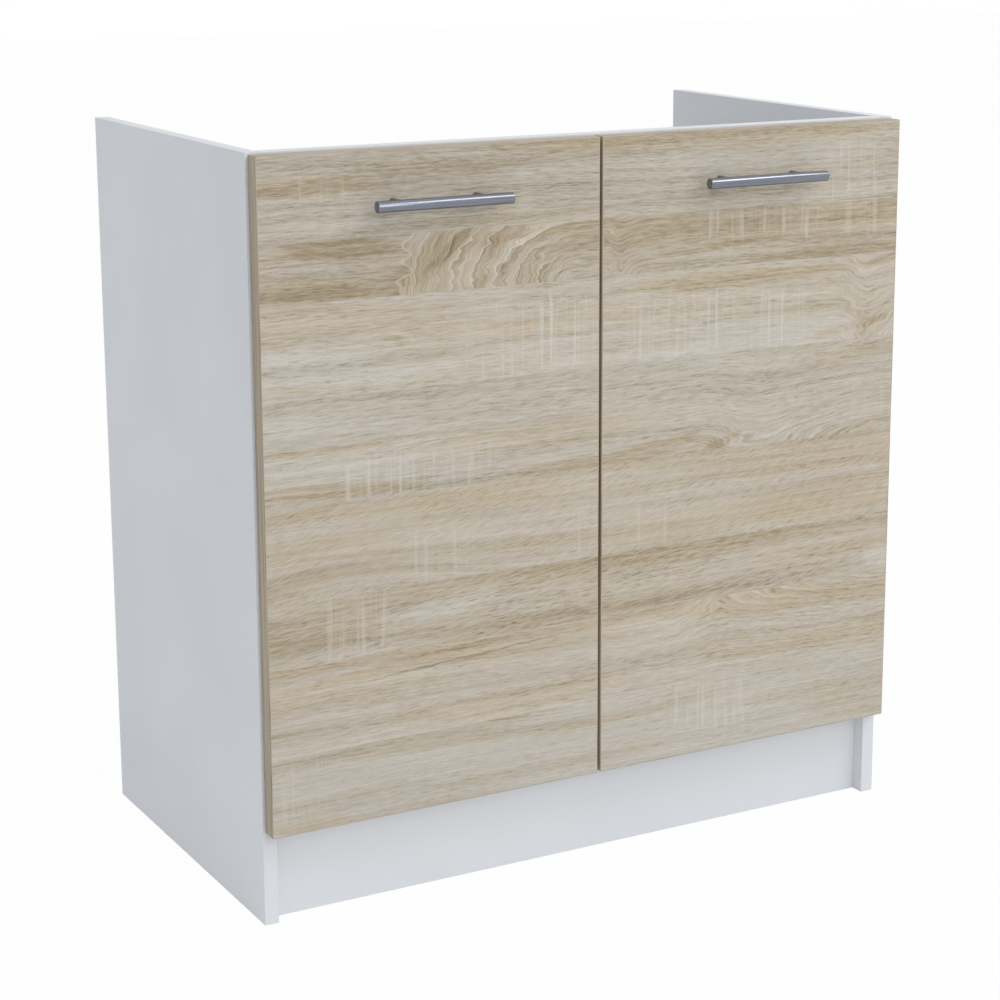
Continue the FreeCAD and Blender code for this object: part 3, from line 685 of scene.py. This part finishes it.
# Crests grow over the start of a nest, and weaken towards its far end and away from the joint
NEST_START = 0.040
NEST_FAR = 0.4
NEST_LOW_SHARE = 0.25
NEST_HIGH_SHARE = 1.1
NEST_TOP = 0.25
RING_DRIFT = 1.6
RING_CALM = 0.65
CREST_SHARE = 0.62
CREST_WIDTH = 0.12
RIM_FADE = 0.003
RIM_HALF = 0.0022
# Patches of another tone: x, z, half length, half height, lean, change of tone, tan
PATCHES = (
    (-0.340, 0.7850, 0.090, 0.0130, -3, -0.02, 0.60),
    (-0.050, 0.8120, 0.120, 0.0060, 0, -0.06, 0.60),
    (0.150, 0.8060, 0.230, 0.0110, 0, -0.04, 0.60),
    (0.330, 0.8120, 0.080, 0.0060, 0, -0.05, 0.50),
    (-0.302, 0.7190, 0.075, 0.0110, 0, -0.22, 0.90),
    (0.000, 0.6560, 0.420, 0.0100, 0, -0.07, 0.30),
    (-0.210, 0.7000, 0.050, 0.0180, 35, -0.12, 0.70),
    (-0.182, 0.7110, 0.036, 0.0065, 38, -0.26, 0.90),
    (-0.160, 0.6850, 0.030, 0.0140, 30, 0.10, -0.20),
    (-0.320, 0.6760, 0.100, 0.0090, -5, -0.04, 0.70),
    (-0.050, 0.7230, 0.090, 0.0060, 5, -0.10, 0.90),
    (0.070, 0.7220, 0.080, 0.0070, 0, -0.08, 0.80),
    (0.240, 0.7120, 0.200, 0.0130, -2, -0.03, 0.50),
    (0.380, 0.7240, 0.030, 0.0050, 0, -0.16, 0.70),
    (0.120, 0.6870, 0.090, 0.0040, 4, -0.12, 0.60),
    (0.170, 0.6520, 0.150, 0.0100, 0, -0.08, 0.70),
    (-0.340, 0.5800, 0.070, 0.0045, -3, -0.09, 0.60),
    (-0.100, 0.6230, 0.050, 0.0060, 0, -0.05, 0.50),
    (0.330, 0.5830, 0.060, 0.0060, 8, -0.11, 0.50),
    (-0.330, 0.5125, 0.100, 0.0045, 0, -0.08, 0.80),
    (-0.080, 0.4935, 0.130, 0.0025, 0, -0.07, 0.60),
    (-0.320, 0.4700, 0.100, 0.0080, -3, -0.11, 0.80),
    (0.000, 0.4650, 0.110, 0.0060, 0, -0.09, 0.60),
    (0.060, 0.4730, 0.070, 0.0045, 8, -0.07, 0.60),
    (0.150, 0.4630, 0.040, 0.0060, 20, -0.14, 0.70),
    (-0.360, 0.4490, 0.060, 0.0060, 8, -0.06, 0.60),
    (-0.140, 0.4430, 0.110, 0.0120, 0, -0.03, 0.60),
    (-0.330, 0.4000, 0.090, 0.0030, 0, -0.09, 0.50),
    (0.310, 0.3780, 0.130, 0.0180, 0, -0.03, 0.50),
    (-0.200, 0.3250, 0.080, 0.0130, 10, 0.12, -0.30),
    (0.000, 0.3450, 0.420, 0.0140, 0, -0.05, 0.35),
    (0.390, 0.3050, 0.030, 0.0160, 0, 0.16, -0.30),
    (-0.270, 0.2845, 0.160, 0.0040, 0, -0.08, 0.90),
    (-0.250, 0.2700, 0.170, 0.0060, 4.5, -0.09, 0.80),
    (-0.070, 0.2785, 0.130, 0.0060, 0, -0.06, 0.80),
    (-0.170, 0.2665, 0.150, 0.0014, 3.5, -0.30, 0.30),
    (0.230, 0.2720, 0.200, 0.0140, -3, -0.06, 0.75),
    (-0.120, 0.2080, 0.170, 0.0140, 0, -0.04, 0.40),
    (0.280, 0.2140, 0.140, 0.0100, 0, -0.05, 0.50),
    (-0.090, 0.1885, 0.060, 0.0020, 0, -0.18, 0.20),
    (0.000, 0.1630, 0.080, 0.0025, -1, -0.10, 0.50),
    (0.350, 0.1240, 0.070, 0.0130, -5, -0.08, 0.40),
    (-0.360, 0.1130, 0.050, 0.0080, 0, -0.04, 0.60),
)
# Saw marks: left and right end, low and high end, strength
SAW_MARKS = (
    (-0.165, -0.005, 0.572, 0.646, 0.95),
    (0.030, 0.270, 0.572, 0.636, 0.95),
    (0.285, 0.370, 0.735, 0.795, 0.80),
    (0.130, 0.300, 0.700, 0.731, 0.80),
    (0.320, 0.375, 0.690, 0.731, 0.60),
    (-0.310, -0.225, 0.460, 0.502, 1.00),
    (-0.215, -0.130, 0.460, 0.494, 0.70),
    (-0.235, -0.150, 0.362, 0.412, 0.60),
    (-0.040, 0.000, 0.362, 0.412, 0.60),
    (0.040, 0.090, 0.362, 0.410, 0.55),
    (-0.330, -0.255, 0.290, 0.357, 0.85),
    (-0.385, -0.325, 0.118, 0.190, 0.85),
    (0.090, 0.200, 0.136, 0.190, 0.90),
    (-0.380, -0.300, 0.770, 0.800, 0.40),
    (0.340, 0.400, 0.470, 0.510, 0.35),
)
SAW_FADE_X = 0.012
SAW_FADE_Z = 0.007
# Strokes of the saw: seed, strokes per metre along and across the grain, detail
STROKES = (4.0, 170, 5, 0)
STROKE_SPAN = (0.58, 0.70, 0.0, 0.8)
HAIRS = (8.0, 430, 9, 0)
HAIR_SPAN = (0.50, 0.72, 0.0, 0.35)
STROKE_ENDS = (2.0, 150, 0, 0)
STROKE_END_SHIFT = 0.045
SAW_HAZE = 0.06
SAW_SHARE = 0.62
FIBRE_BREAKS = (0.35, 0.62, 1.0, 0.45)


def total(finish, *terms):
    """The terms added up."""
    result = terms[0]
    for term in terms[1:]:
        result = work(finish, "ADD", result, term)
    return result


def product(finish, *terms):
    """The terms multiplied."""
    result = terms[0]
    for term in terms[1:]:
        result = work(finish, "MULTIPLY", result, term)
    return result


def centred(finish, value):
    """A value from 0 to 1 as its distance from the middle."""
    return work(finish, "SUBTRACT", value, MIDDLE)


def plank_values(finish, z, columns):
    """For each column of values, one per plank from the lowest up, the value at a height."""
    above = [work(finish, "GREATER_THAN", z, joint) for joint in PLANK_JOINTS]
    found = []
    for column in columns:
        value = column[0]
        for step, lower, upper in zip(above, column, column[1:]):
            value = work(finish, "MULTIPLY_ADD", step, upper - lower, value)
        found.append(value)
    return found


def bell(finish, value, middle, half):
    """A bell curve, 1 at middle, that has fallen to a third at half."""
    away = work(finish, "DIVIDE", work(finish, "SUBTRACT", value, middle), half)
    return work(finish, "POWER", math.e, product(finish, away, away, -1.0))


def window(finish, value, low, high, soft):
    """1 between low and high, fading out over soft on both sides."""
    middle = (low + high) / 2
    away = work(finish, "ABSOLUTE", work(finish, "SUBTRACT", value, middle))
    half = (high - low) / 2
    return between(finish, away, half - soft, half + soft, 1.0, 0.0)


def same_plank(finish, z, inside_z):
    """1 in the plank that holds the height inside_z, and 0 in the others."""
    heights = (DECOR_LOW,) + PLANK_JOINTS + (DECOR_HIGH,)
    for low, high in zip(heights, heights[1:]):
        if low <= inside_z < high:
            return product(finish, work(finish, "GREATER_THAN", z, low),
                           work(finish, "LESS_THAN", z, high))


def grain(finish, x, height, seed, along, across, detail=1.0, rough=0.5):
    """Noise drawn out along the grain. Its lines follow where the height is constant."""
    spot = point(finish, product(finish, x, along), product(finish, height, across), seed)
    return cloud(finish, spot, 1.0, detail, rough)


def wave(finish, x, z, seed, along, across, height):
    """Soft waves of the given height, along and across the grain in waves per metre."""
    return product(finish, centred(finish, grain(finish, x, z, seed, along, across)), height)


def grain_rise(finish, x, z, seed):
    """Height across the grain, whose lines follow where it is constant, the share of the
    crests, and the share of the pale rims where nests end."""
    rise = z
    for along, across, height in GRAIN_WAVES:
        rise = total(finish, rise, wave(finish, x, z, seed, along, across, height))
    for middle_x, middle_z, half_x, half_z, lift in SWELLS:
        swell = product(finish, bell(finish, x, middle_x, half_x),
                        bell(finish, z, middle_z, half_z),
                        same_plank(finish, z, middle_z + SWELL_INSIDE), lift)
        rise = total(finish, rise, swell)
    crests = 0.0
    rims = 0.0
    shaken = 0.0
    wiggle = wave(finish, x, z, *WIGGLE)
    ragged = total(finish, x, wave(finish, x, z, *RAGGED))
    for middle_x, middle_z, squash, reach, fade, side, strength in NESTS:
        inside = same_plank(finish, z, middle_z + side * NEST_INSIDE)
        ragged_end = work(finish, "SUBTRACT", middle_x, ragged)
        end = between(finish, ragged_end, reach - fade, reach, 1.0, 0.0)
        rim = product(finish, bell(finish, ragged_end, reach, RIM_HALF), inside, strength,
                      RIM_FADE / fade)
        rims = work(finish, "MAXIMUM", rims, rim)

        beside = work(finish, "MAXIMUM", work(finish, "SUBTRACT", middle_x, x), 0.0)
        beside = work(finish, "MINIMUM", beside, reach)
        bowed = product(finish, beside, squash)
        away = work(finish, "ABSOLUTE", work(finish, "SUBTRACT", z, middle_z))
        squares = total(finish, product(finish, bowed, bowed), product(finish, away, away))
        lift = work(finish, "SUBTRACT", work(finish, "SQRT", squares), away)
        rise = total(finish, rise, product(finish, lift, inside, end, side))

        near = between(finish, beside, 0.0, NEST_START)
        far = between(finish, beside, reach / 2, reach, 1.0, NEST_FAR)
        height = squash * reach
        low = between(finish, away, NEST_LOW_SHARE * height, NEST_HIGH_SHARE * height, 1.0,
                      NEST_TOP)
        share = product(finish, near, far, end, inside, strength, low)
        crests = work(finish, "MAXIMUM", crests, share)
        shaken = work(finish, "MAXIMUM", shaken, product(finish, share, squash))
    rise = total(finish, rise, product(finish, wiggle, shaken))
    return rise, crests, rims


def tone_patches(finish, x, z):
    """Changes of tone and of tan that the patches give at a point."""
    spot = point(finish, x, z, 0.0)
    tone = 0.0
    tan = 0.0
    for middle_x, middle_z, half_x, half_z, lean, change, tanned in PATCHES:
        patch = finish.node_tree.nodes.new("ShaderNodeMapping")
        patch.vector_type = "TEXTURE"
        patch.inputs["Location"].default_value = (middle_x, middle_z, 0)
        patch.inputs["Rotation"].default_value = (0, 0, math.radians(lean))
        patch.inputs["Scale"].default_value = (half_x, half_z, 1)
        feed(finish, patch.inputs["Vector"], spot)
        away = finish.node_tree.nodes.new("ShaderNodeVectorMath")
        away.operation = "LENGTH"
        feed(finish, away.inputs[0], patch.outputs[0])
        share = product(finish, between(finish, away.outputs["Value"], *PATCH_SPAN),
                        same_plank(finish, z, middle_z))
        tone = work(finish, "MULTIPLY_ADD", share, change, tone)
        tan = work(finish, "MULTIPLY_ADD", share, tanned, tan)
    return tone, tan


def saw_share(finish, x, z, fibres):
    """Share of the pale strokes that the saw left, which the fibres break up."""
    strokes = between(finish, grain(finish, x, z, *STROKES), *STROKE_SPAN)
    hairs = between(finish, grain(finish, x, z, *HAIRS), *HAIR_SPAN)
    ends = product(finish, centred(finish, grain(finish, x, z, *STROKE_ENDS)), STROKE_END_SHIFT)
    shifted = total(finish, z, ends)
    sawn = 0.0
    for left, right, low, high, strength in SAW_MARKS:
        patch = product(finish, window(finish, x, left, right, SAW_FADE_X),
                        window(finish, shifted, low, high, SAW_FADE_Z),
                        same_plank(finish, z, (low + high) / 2), strength)
        sawn = work(finish, "MAXIMUM", sawn, patch)
    share = product(finish, total(finish, strokes, hairs, SAW_HAZE), sawn,
                    between(finish, fibres, *FIBRE_BREAKS))
    return work(finish, "MULTIPLY", share, SAW_SHARE, clamp=True)


def tone_scale(finish, tone):
    """Colour of the print for a tone from 0, the darkest, to 1."""
    scale = finish.node_tree.nodes.new("ShaderNodeValToRGB")
    stops = scale.color_ramp.elements
    for number, (share, shade) in enumerate(OAK_TONES):
        stop = stops[number] if number < len(stops) else stops.new(share)
        stop.position = share
        stop.color = (*shade, 1)
    feed(finish, scale.inputs[0], tone)
    return scale.outputs[0]


def oak_decor():
    """The print on both sides of the doors, with the chips of the board in its bores."""
    finish, surface = new_finish("oak_decor", IOR=1.48)
    place = place_of(finish)
    x, y, z = place
    seeds = [SEED_STEP * number + SEED_GROWTH * number ** 2 for number in range(len(PLANKS))]
    columns = [*zip(*PLANKS), seeds]
    lean, plank_tone, pore_share, plank_tan, ring_count, seed = plank_values(finish, z, columns)
    rise, crests, rims = grain_rise(finish, x, z, seed)
    tilt = product(finish, centred(finish, lean), -LEAN_SCALE)
    leaning = total(finish, rise, product(finish, tilt, x))
    rings = grain(finish, x, rise, seed, *RINGS)
    fibres = grain(finish, x, leaning, seed, *FIBRES)

    # Tone
    wavy = total(finish, z, *[wave(finish, x, z, *patch_wave) for patch_wave in PATCH_WAVES])
    patch_tone, patch_tan = tone_patches(finish, x, wavy)
    tan_bands = between(finish, grain(finish, x, rise, seed, *TAN_BANDS), *TAN_SPAN)
    tone = total(finish, product(finish, centred(finish, plank_tone), TONE_SCALE), patch_tone,
                 BASE_TONE, product(finish, tan_bands, TAN_TONE))
    calm = work(finish, "MULTIPLY_ADD", crests, -RING_CALM, 1.0)
    for pattern, strength in (
        (grain(finish, x, rise, seed, *BROAD), BROAD_TONE),
        (grain(finish, x, rise, seed, *BANDS), product(finish, calm, BAND_TONE)),
        (rings, product(finish, calm, RING_TONE)),
        (fibres, FIBRE_TONE),
        (grain(finish, x, leaning, seed, *GRIT), GRIT_TONE),
    ):
        tone = work(finish, "MULTIPLY_ADD", centred(finish, pattern), strength, tone)
    clusters = between(finish, grain(finish, x, z, seed, *PORE_CLUSTERS), *CLUSTER_SPAN)
    pores = between(finish, grain(finish, x, leaning, seed, *PORES), *PORE_SPAN)
    pores = product(finish, pores, pore_share, clusters)
    tone = work(finish, "MULTIPLY_ADD", pores, PORE_TONE, tone)

    # Rings of the nests, each shaded from its pale crest on
    drift = product(finish, grain(finish, x, rise, seed, *RING_DRIFTS), RING_DRIFT)
    ring = work(finish, "FRACT", work(finish, "MULTIPLY_ADD", rise, ring_count, drift))
    shading = product(finish, centred(finish, ring), crests)
    tone = work(finish, "MULTIPLY_ADD", shading, NEST_TONE, tone)
    crest_lines = product(finish, between(finish, ring, 0.0, CREST_WIDTH, 1.0, 0.0), crests)
    crest_lines = work(finish, "MAXIMUM", crest_lines, rims)

    # Colour
    tan = total(finish, product(finish, patch_tan, PATCH_TAN), tan_bands, plank_tan)
    colour = blend(finish, between(finish, tan, 0.0, 1.0), tone_scale(finish, tone),
                   OAK_TAN_TINT, "MULTIPLY")
    colour = blend(finish, product(finish, crest_lines, CREST_SHARE), colour, OAK_CREST)
    colour = blend(finish, saw_share(finish, x, z, fibres), colour, SAW_MARK)
    low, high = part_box("left_door_panel")
    front = work(finish, "ABSOLUTE", work(finish, "SUBTRACT", y, low.y))
    back = work(finish, "ABSOLUTE", work(finish, "SUBTRACT", y, high.y))
    faced = work(finish, "LESS_THAN", work(finish, "MINIMUM", front, back), FACING)
    colour = blend(finish, faced, chip_colour(finish, place), colour)
    feed(finish, surface.inputs["Base Color"], colour)

    feed(finish, surface.inputs["Roughness"], between(finish, fibres, *OAK_SHEEN))
    height = work(finish, "SUBTRACT", product(finish, rings, RING_RELIEF), pores)
    bump(finish, surface, height, PRINT_DEPTH, PRINT_STRENGTH)
    return finish


oak = oak_decor()
for side in SIDES:
    dress(side + "_door_panel", oak)

# Edge bands: 1 mm plastic bands in a darker brown print, glued round each door and rounded
# at both arrises, with fine streaks along their length.

BAND_BROWN = (0.400, 0.325, 0.222)
BAND_DARK = (0.215, 0.160, 0.100)
BAND_LIGHT = (0.500, 0.425, 0.315)
BAND_ROUND = 0.0006
BAND_STREAKS = (7, 900, 7)
STREAK_NOISE = (1, 3, 0.6)
STREAK_SPAN = (0.52, 0.66, 0.0, 0.8)
STREAK_DEPTH = 0.00003
STREAK_STRENGTH = 0.5
BAND_BROAD = (3, 260, 3)
BAND_BROAD_SPAN = (0.35, 0.65)
BAND_ROUGHNESS = (0.42, 0.55)
CORNER_STEPS = 4
ROUND_STEPS = 4
ROUND_EDGE_DEG = 60

band, surface = new_finish("door_edge_print", IOR=1.48)
place = place_of(band)
streaks = cloud(band, stretched(band, place, *BAND_STREAKS), *STREAK_NOISE)
broad = cloud(band, stretched(band, place, *BAND_BROAD), 1)
colour = blend(band, between(band, broad, *BAND_BROAD_SPAN), BAND_BROWN, BAND_LIGHT)
colour = blend(band, between(band, streaks, *STREAK_SPAN), colour, BAND_DARK)
feed(band, surface.inputs["Base Color"], colour)
feed(band, surface.inputs["Roughness"], between(band, streaks, *HAZE_SPAN, *BAND_ROUGHNESS))
bump(band, surface, streaks, STREAK_DEPTH, STREAK_STRENGTH)


def band_ring(low, high, thickness):
    """Closed band round a board: low and high are the door's corners with the band on."""
    profile = [(0.0, low.y)]
    for step in range(ROUND_STEPS + 1):
        angle = math.pi / 2 * step / ROUND_STEPS
        profile.append((thickness - BAND_ROUND * (1 - math.sin(angle)),
                        low.y + BAND_ROUND * (1 - math.cos(angle))))
    for step in range(ROUND_STEPS + 1):
        angle = math.pi / 2 * step / ROUND_STEPS
        profile.append((thickness - BAND_ROUND * (1 - math.cos(angle)),
                        high.y - BAND_ROUND * (1 - math.sin(angle))))
    profile.append((0.0, high.y))
    corners = ((high.x, high.z, 0), (low.x, high.z, 1), (low.x, low.z, 2), (high.x, low.z, 3))
    made = bmesh.new()
    rings = []
    for corner_x, corner_z, quarter in corners:
        centre_x = corner_x + (thickness if corner_x == low.x else -thickness)
        centre_z = corner_z + (thickness if corner_z == low.z else -thickness)
        for step in range(CORNER_STEPS + 1):
            angle = math.pi / 2 * (quarter + step / CORNER_STEPS)
            rings.append([made.verts.new((centre_x + out * math.cos(angle), into,
                                          centre_z + out * math.sin(angle)))
                          for out, into in profile])
    for ring, following in zip(rings, rings[1:] + rings[:1]):
        count = len(profile)
        for number in range(count):
            beside = (number + 1) % count
            made.faces.new((ring[number], ring[beside], following[beside], following[number]))
    bmesh.ops.remove_doubles(made, verts=made.verts, dist=WELD)
    return made


for side in SIDES:
    low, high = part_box(side + "_door_edge_bands")
    core_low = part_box(side + "_door_panel")[0]
    ring = band_ring(low, high, core_low.x - low.x)
    edging = new_piece(side + "_door_edging", ring, band, side + "_door",
                       side + "_door_edge_bands")
    smooth_by_angle(edging, ROUND_EDGE_DEG)

# Bumpers: round buttons of clear soft plastic, stuck to the backs of the doors by the free
# edge. They soften the stop against the cabinet.

BUMPER_CLEAR = (0.80, 0.81, 0.80)
BUMPER_HAZE = (0.70, 0.71, 0.70)
BUMPER_CLOUDS = (300, 2)

bumper, surface = new_finish("clear_bumper", Roughness=0.25, Transmission_Weight=0.6, IOR=1.45)
tint = cloud(bumper, point(bumper, *place_of(bumper)), *BUMPER_CLOUDS)
feed(bumper, surface.inputs["Base Color"], blend(bumper, tint, BUMPER_CLEAR, BUMPER_HAZE))
for side in SIDES:
    round_pieces(side + "_bumpers", side + "_door_bumpers", bumper, side + "_door",
                 Y_AXIS, recess=False)

# Handles: a bar of round brushed steel on two posts, whose ends are hollowed to fit the bar.
# A screw through the door from behind holds each post.

# The steel's colour is darker and bluer than bare steel, a painted reflection of a dark room. The
# brush marks vary it between two such tones.
STEEL_LIGHT_PAINTED_REFLECTION = (0.270, 0.285, 0.325)
STEEL_DARK_PAINTED_REFLECTION = (0.150, 0.162, 0.196)
BAR_SIDES = 96
POST_SIDES = 64
BAR_CHAMFER = 0.0008
BRUSH_MARKS = (25, 5200, 5200)
BRUSH_NOISE = (1, 2, 0.6)
BRUSH_DEPTH = 0.000012
BRUSH_STRENGTH = 0.7
STEEL_HAZE = (12, 300, 300)
STEEL_ROUGHNESS = (0.14, 0.21)

steel, surface = new_finish("brushed_steel_painted_reflection", Metallic=1.0)
place = place_of(steel)
brush = cloud(steel, stretched(steel, place, *BRUSH_MARKS), *BRUSH_NOISE)
haze = cloud(steel, stretched(steel, place, *STEEL_HAZE), 1)
colour = blend(steel, between(steel, brush, *HAZE_SPAN), STEEL_LIGHT_PAINTED_REFLECTION, STEEL_DARK_PAINTED_REFLECTION)
feed(steel, surface.inputs["Base Color"], colour)
feed(steel, surface.inputs["Roughness"], between(steel, haze, *HAZE_SPAN, *STEEL_ROUGHNESS))
bump(steel, surface, brush, BRUSH_DEPTH, BRUSH_STRENGTH)


def rounded_end(length, radius, chamfer, steps=4):
    """Profile of a bar whose ends are slightly rounded off."""
    half = [(0.0, 0.0)]
    for step in range(steps + 1):
        angle = math.pi / 2 * step / steps
        half.append((chamfer * (1 - math.cos(angle)), radius - chamfer * (1 - math.sin(angle))))
    return half + [(length - distance, size) for distance, size in reversed(half)]


for side in SIDES:
    low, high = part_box(side + "_handle_bar")
    radius = (high.z - low.z) / 2
    middle = (low + high) / 2
    start = Vector((low.x, middle.y, middle.z))
    made = bmesh.new()
    lathe(made, rounded_end(high.x - low.x, radius, BAR_CHAMFER), start, Vector((1, 0, 0)),
          BAR_SIDES)
    grip = new_piece(side + "_handle_grip", made, steel, side + "_door",
                     side + "_handle_bar")
    smooth_by_angle(grip, ROUND_EDGE_DEG)
    made = bmesh.new()
    for part in loose_parts(side + "_handle_posts"):
        post_low, post_high = box_of(part)
        post_radius = (post_high.x - post_low.x) / 2
        foot = Vector(((post_low.x + post_high.x) / 2, post_high.y, middle.z))
        reach = foot.y - middle.y
        rings = lathe(made, [(0, 0), (0, post_radius), (reach, post_radius), (reach - radius, 0)],
                      foot, Vector((0, -1, 0)), POST_SIDES)
        for vert in rings[2]:
            rise = vert.co.z - middle.z
            vert.co.y = middle.y + math.sqrt(radius ** 2 - rise ** 2)
    posts = new_piece(side + "_handle_feet", made, steel, side + "_door",
                      side + "_handle_posts")
    smooth_by_angle(posts)
    round_pieces(side + "_handle_bolts", side + "_handle_screws", zinc, side + "_door",
                 Y_AXIS)

# Room: a pale floor that keeps the cabinet's soft shadow, a plain white backdrop, and even
# studio light from the sky and from two soft lamps, one in front and one high at the right.

FLOOR_PALE = (0.90, 0.90, 0.90)
FLOOR_SIZE = 30.0
FLOOR_DROP = 0.0002
FLOOR_WHITE_SHARE = 0.97
SKY_LIGHT = (0.925, 0.955, 1.0)
SKY_STRENGTH = 0.64
SKY_WHITE_SHARE = 1.0
# Soft lamps: name, place, point that it is aimed at, width, height, watts
LAMPS = (
    ("front_softbox", (0.1, -3.4, 2.0), (0.0, 0.0, 0.45), 1.7, 1.7, 24),
    ("high_softbox", (1.6, -1.7, 2.9), (0.0, 0.0, 0.60), 2.2, 0.9, 24),
)


def shown_white(owner, lit, glow, output, share):
    """Shows a share of white to the camera and in reflections, over what lights the scene."""
    tree = owner.node_tree
    path = tree.nodes.new("ShaderNodeLightPath")
    seen = work(owner, "MAXIMUM", path.outputs["Is Camera Ray"], path.outputs["Is Glossy Ray"])
    seen = work(owner, "MAXIMUM", seen, path.outputs["Is Transmission Ray"])
    white = tree.nodes.new(glow)
    white.inputs["Color"].default_value = (1, 1, 1, 1)
    mixed = tree.nodes.new("ShaderNodeMixShader")
    feed(owner, mixed.inputs[0], work(owner, "MULTIPLY", seen, share))
    tree.links.new(lit.outputs[0], mixed.inputs[1])
    tree.links.new(white.outputs[0], mixed.inputs[2])
    tree.links.new(mixed.outputs[0], tree.nodes[output].inputs[0])


pale, surface = new_finish("floor_pale", Roughness=0.9)
feed(pale, surface.inputs["Base Color"], FLOOR_PALE)
shown_white(pale, surface, "ShaderNodeEmission", "Material Output", FLOOR_WHITE_SHARE)
floor_mesh = bpy.data.meshes.new("floor")
half = FLOOR_SIZE / 2
floor_mesh.from_pydata([(-half, -half, 0), (half, -half, 0), (half, half, 0), (-half, half, 0)],
                       [], [(0, 1, 2, 3)])
floor_mesh.materials.append(pale)
floor = bpy.data.objects.new("floor", floor_mesh)
floor.location.z = -FLOOR_DROP
bpy.context.scene.collection.objects.link(floor)

world = bpy.data.worlds.new("studio")
world.use_nodes = True
bpy.context.scene.world = world
sky = world.node_tree.nodes["Background"]
sky.inputs["Color"].default_value = (*SKY_LIGHT, 1)
sky.inputs["Strength"].default_value = SKY_STRENGTH
shown_white(world, sky, "ShaderNodeBackground", "World Output", SKY_WHITE_SHARE)

for name, place, aim, width, height, watts in LAMPS:
    light = bpy.data.lights.new(name, "AREA")
    light.shape = "RECTANGLE"
    light.size = width
    light.size_y = height
    light.energy = watts
    lamp = bpy.data.objects.new(name, light)
    lamp.location = place
    lamp.rotation_euler = (Vector(aim) - Vector(place)).to_track_quat("-Z", "Y").to_euler()
    bpy.context.scene.collection.objects.link(lamp)

# Camera: it stands in front of the cabinet at the left and looks down a little, as the
# photograph was taken. A small shift of the lens places the cabinet in the picture.

CAMERA_PLACE = (-1.3146, -2.4088, 1.0720)
CAMERA_YAW = 0.5192
CAMERA_DIP = 0.2164
FOCAL_SHARE = 2.4034
SENSOR = 36.0
SHIFT_X = -0.0522
SHIFT_Y = -0.0800

eye = bpy.data.cameras.new("camera")
eye.sensor_width = SENSOR
eye.lens = FOCAL_SHARE * SENSOR
eye.shift_x = SHIFT_X
eye.shift_y = SHIFT_Y
camera = bpy.data.objects.new("camera", eye)
camera.location = CAMERA_PLACE
camera.rotation_euler = (math.pi / 2 - CAMERA_DIP, 0, -CAMERA_YAW)
bpy.context.scene.collection.objects.link(camera)
bpy.context.scene.camera = camera
bpy.context.scene.view_settings.view_transform = "Standard"
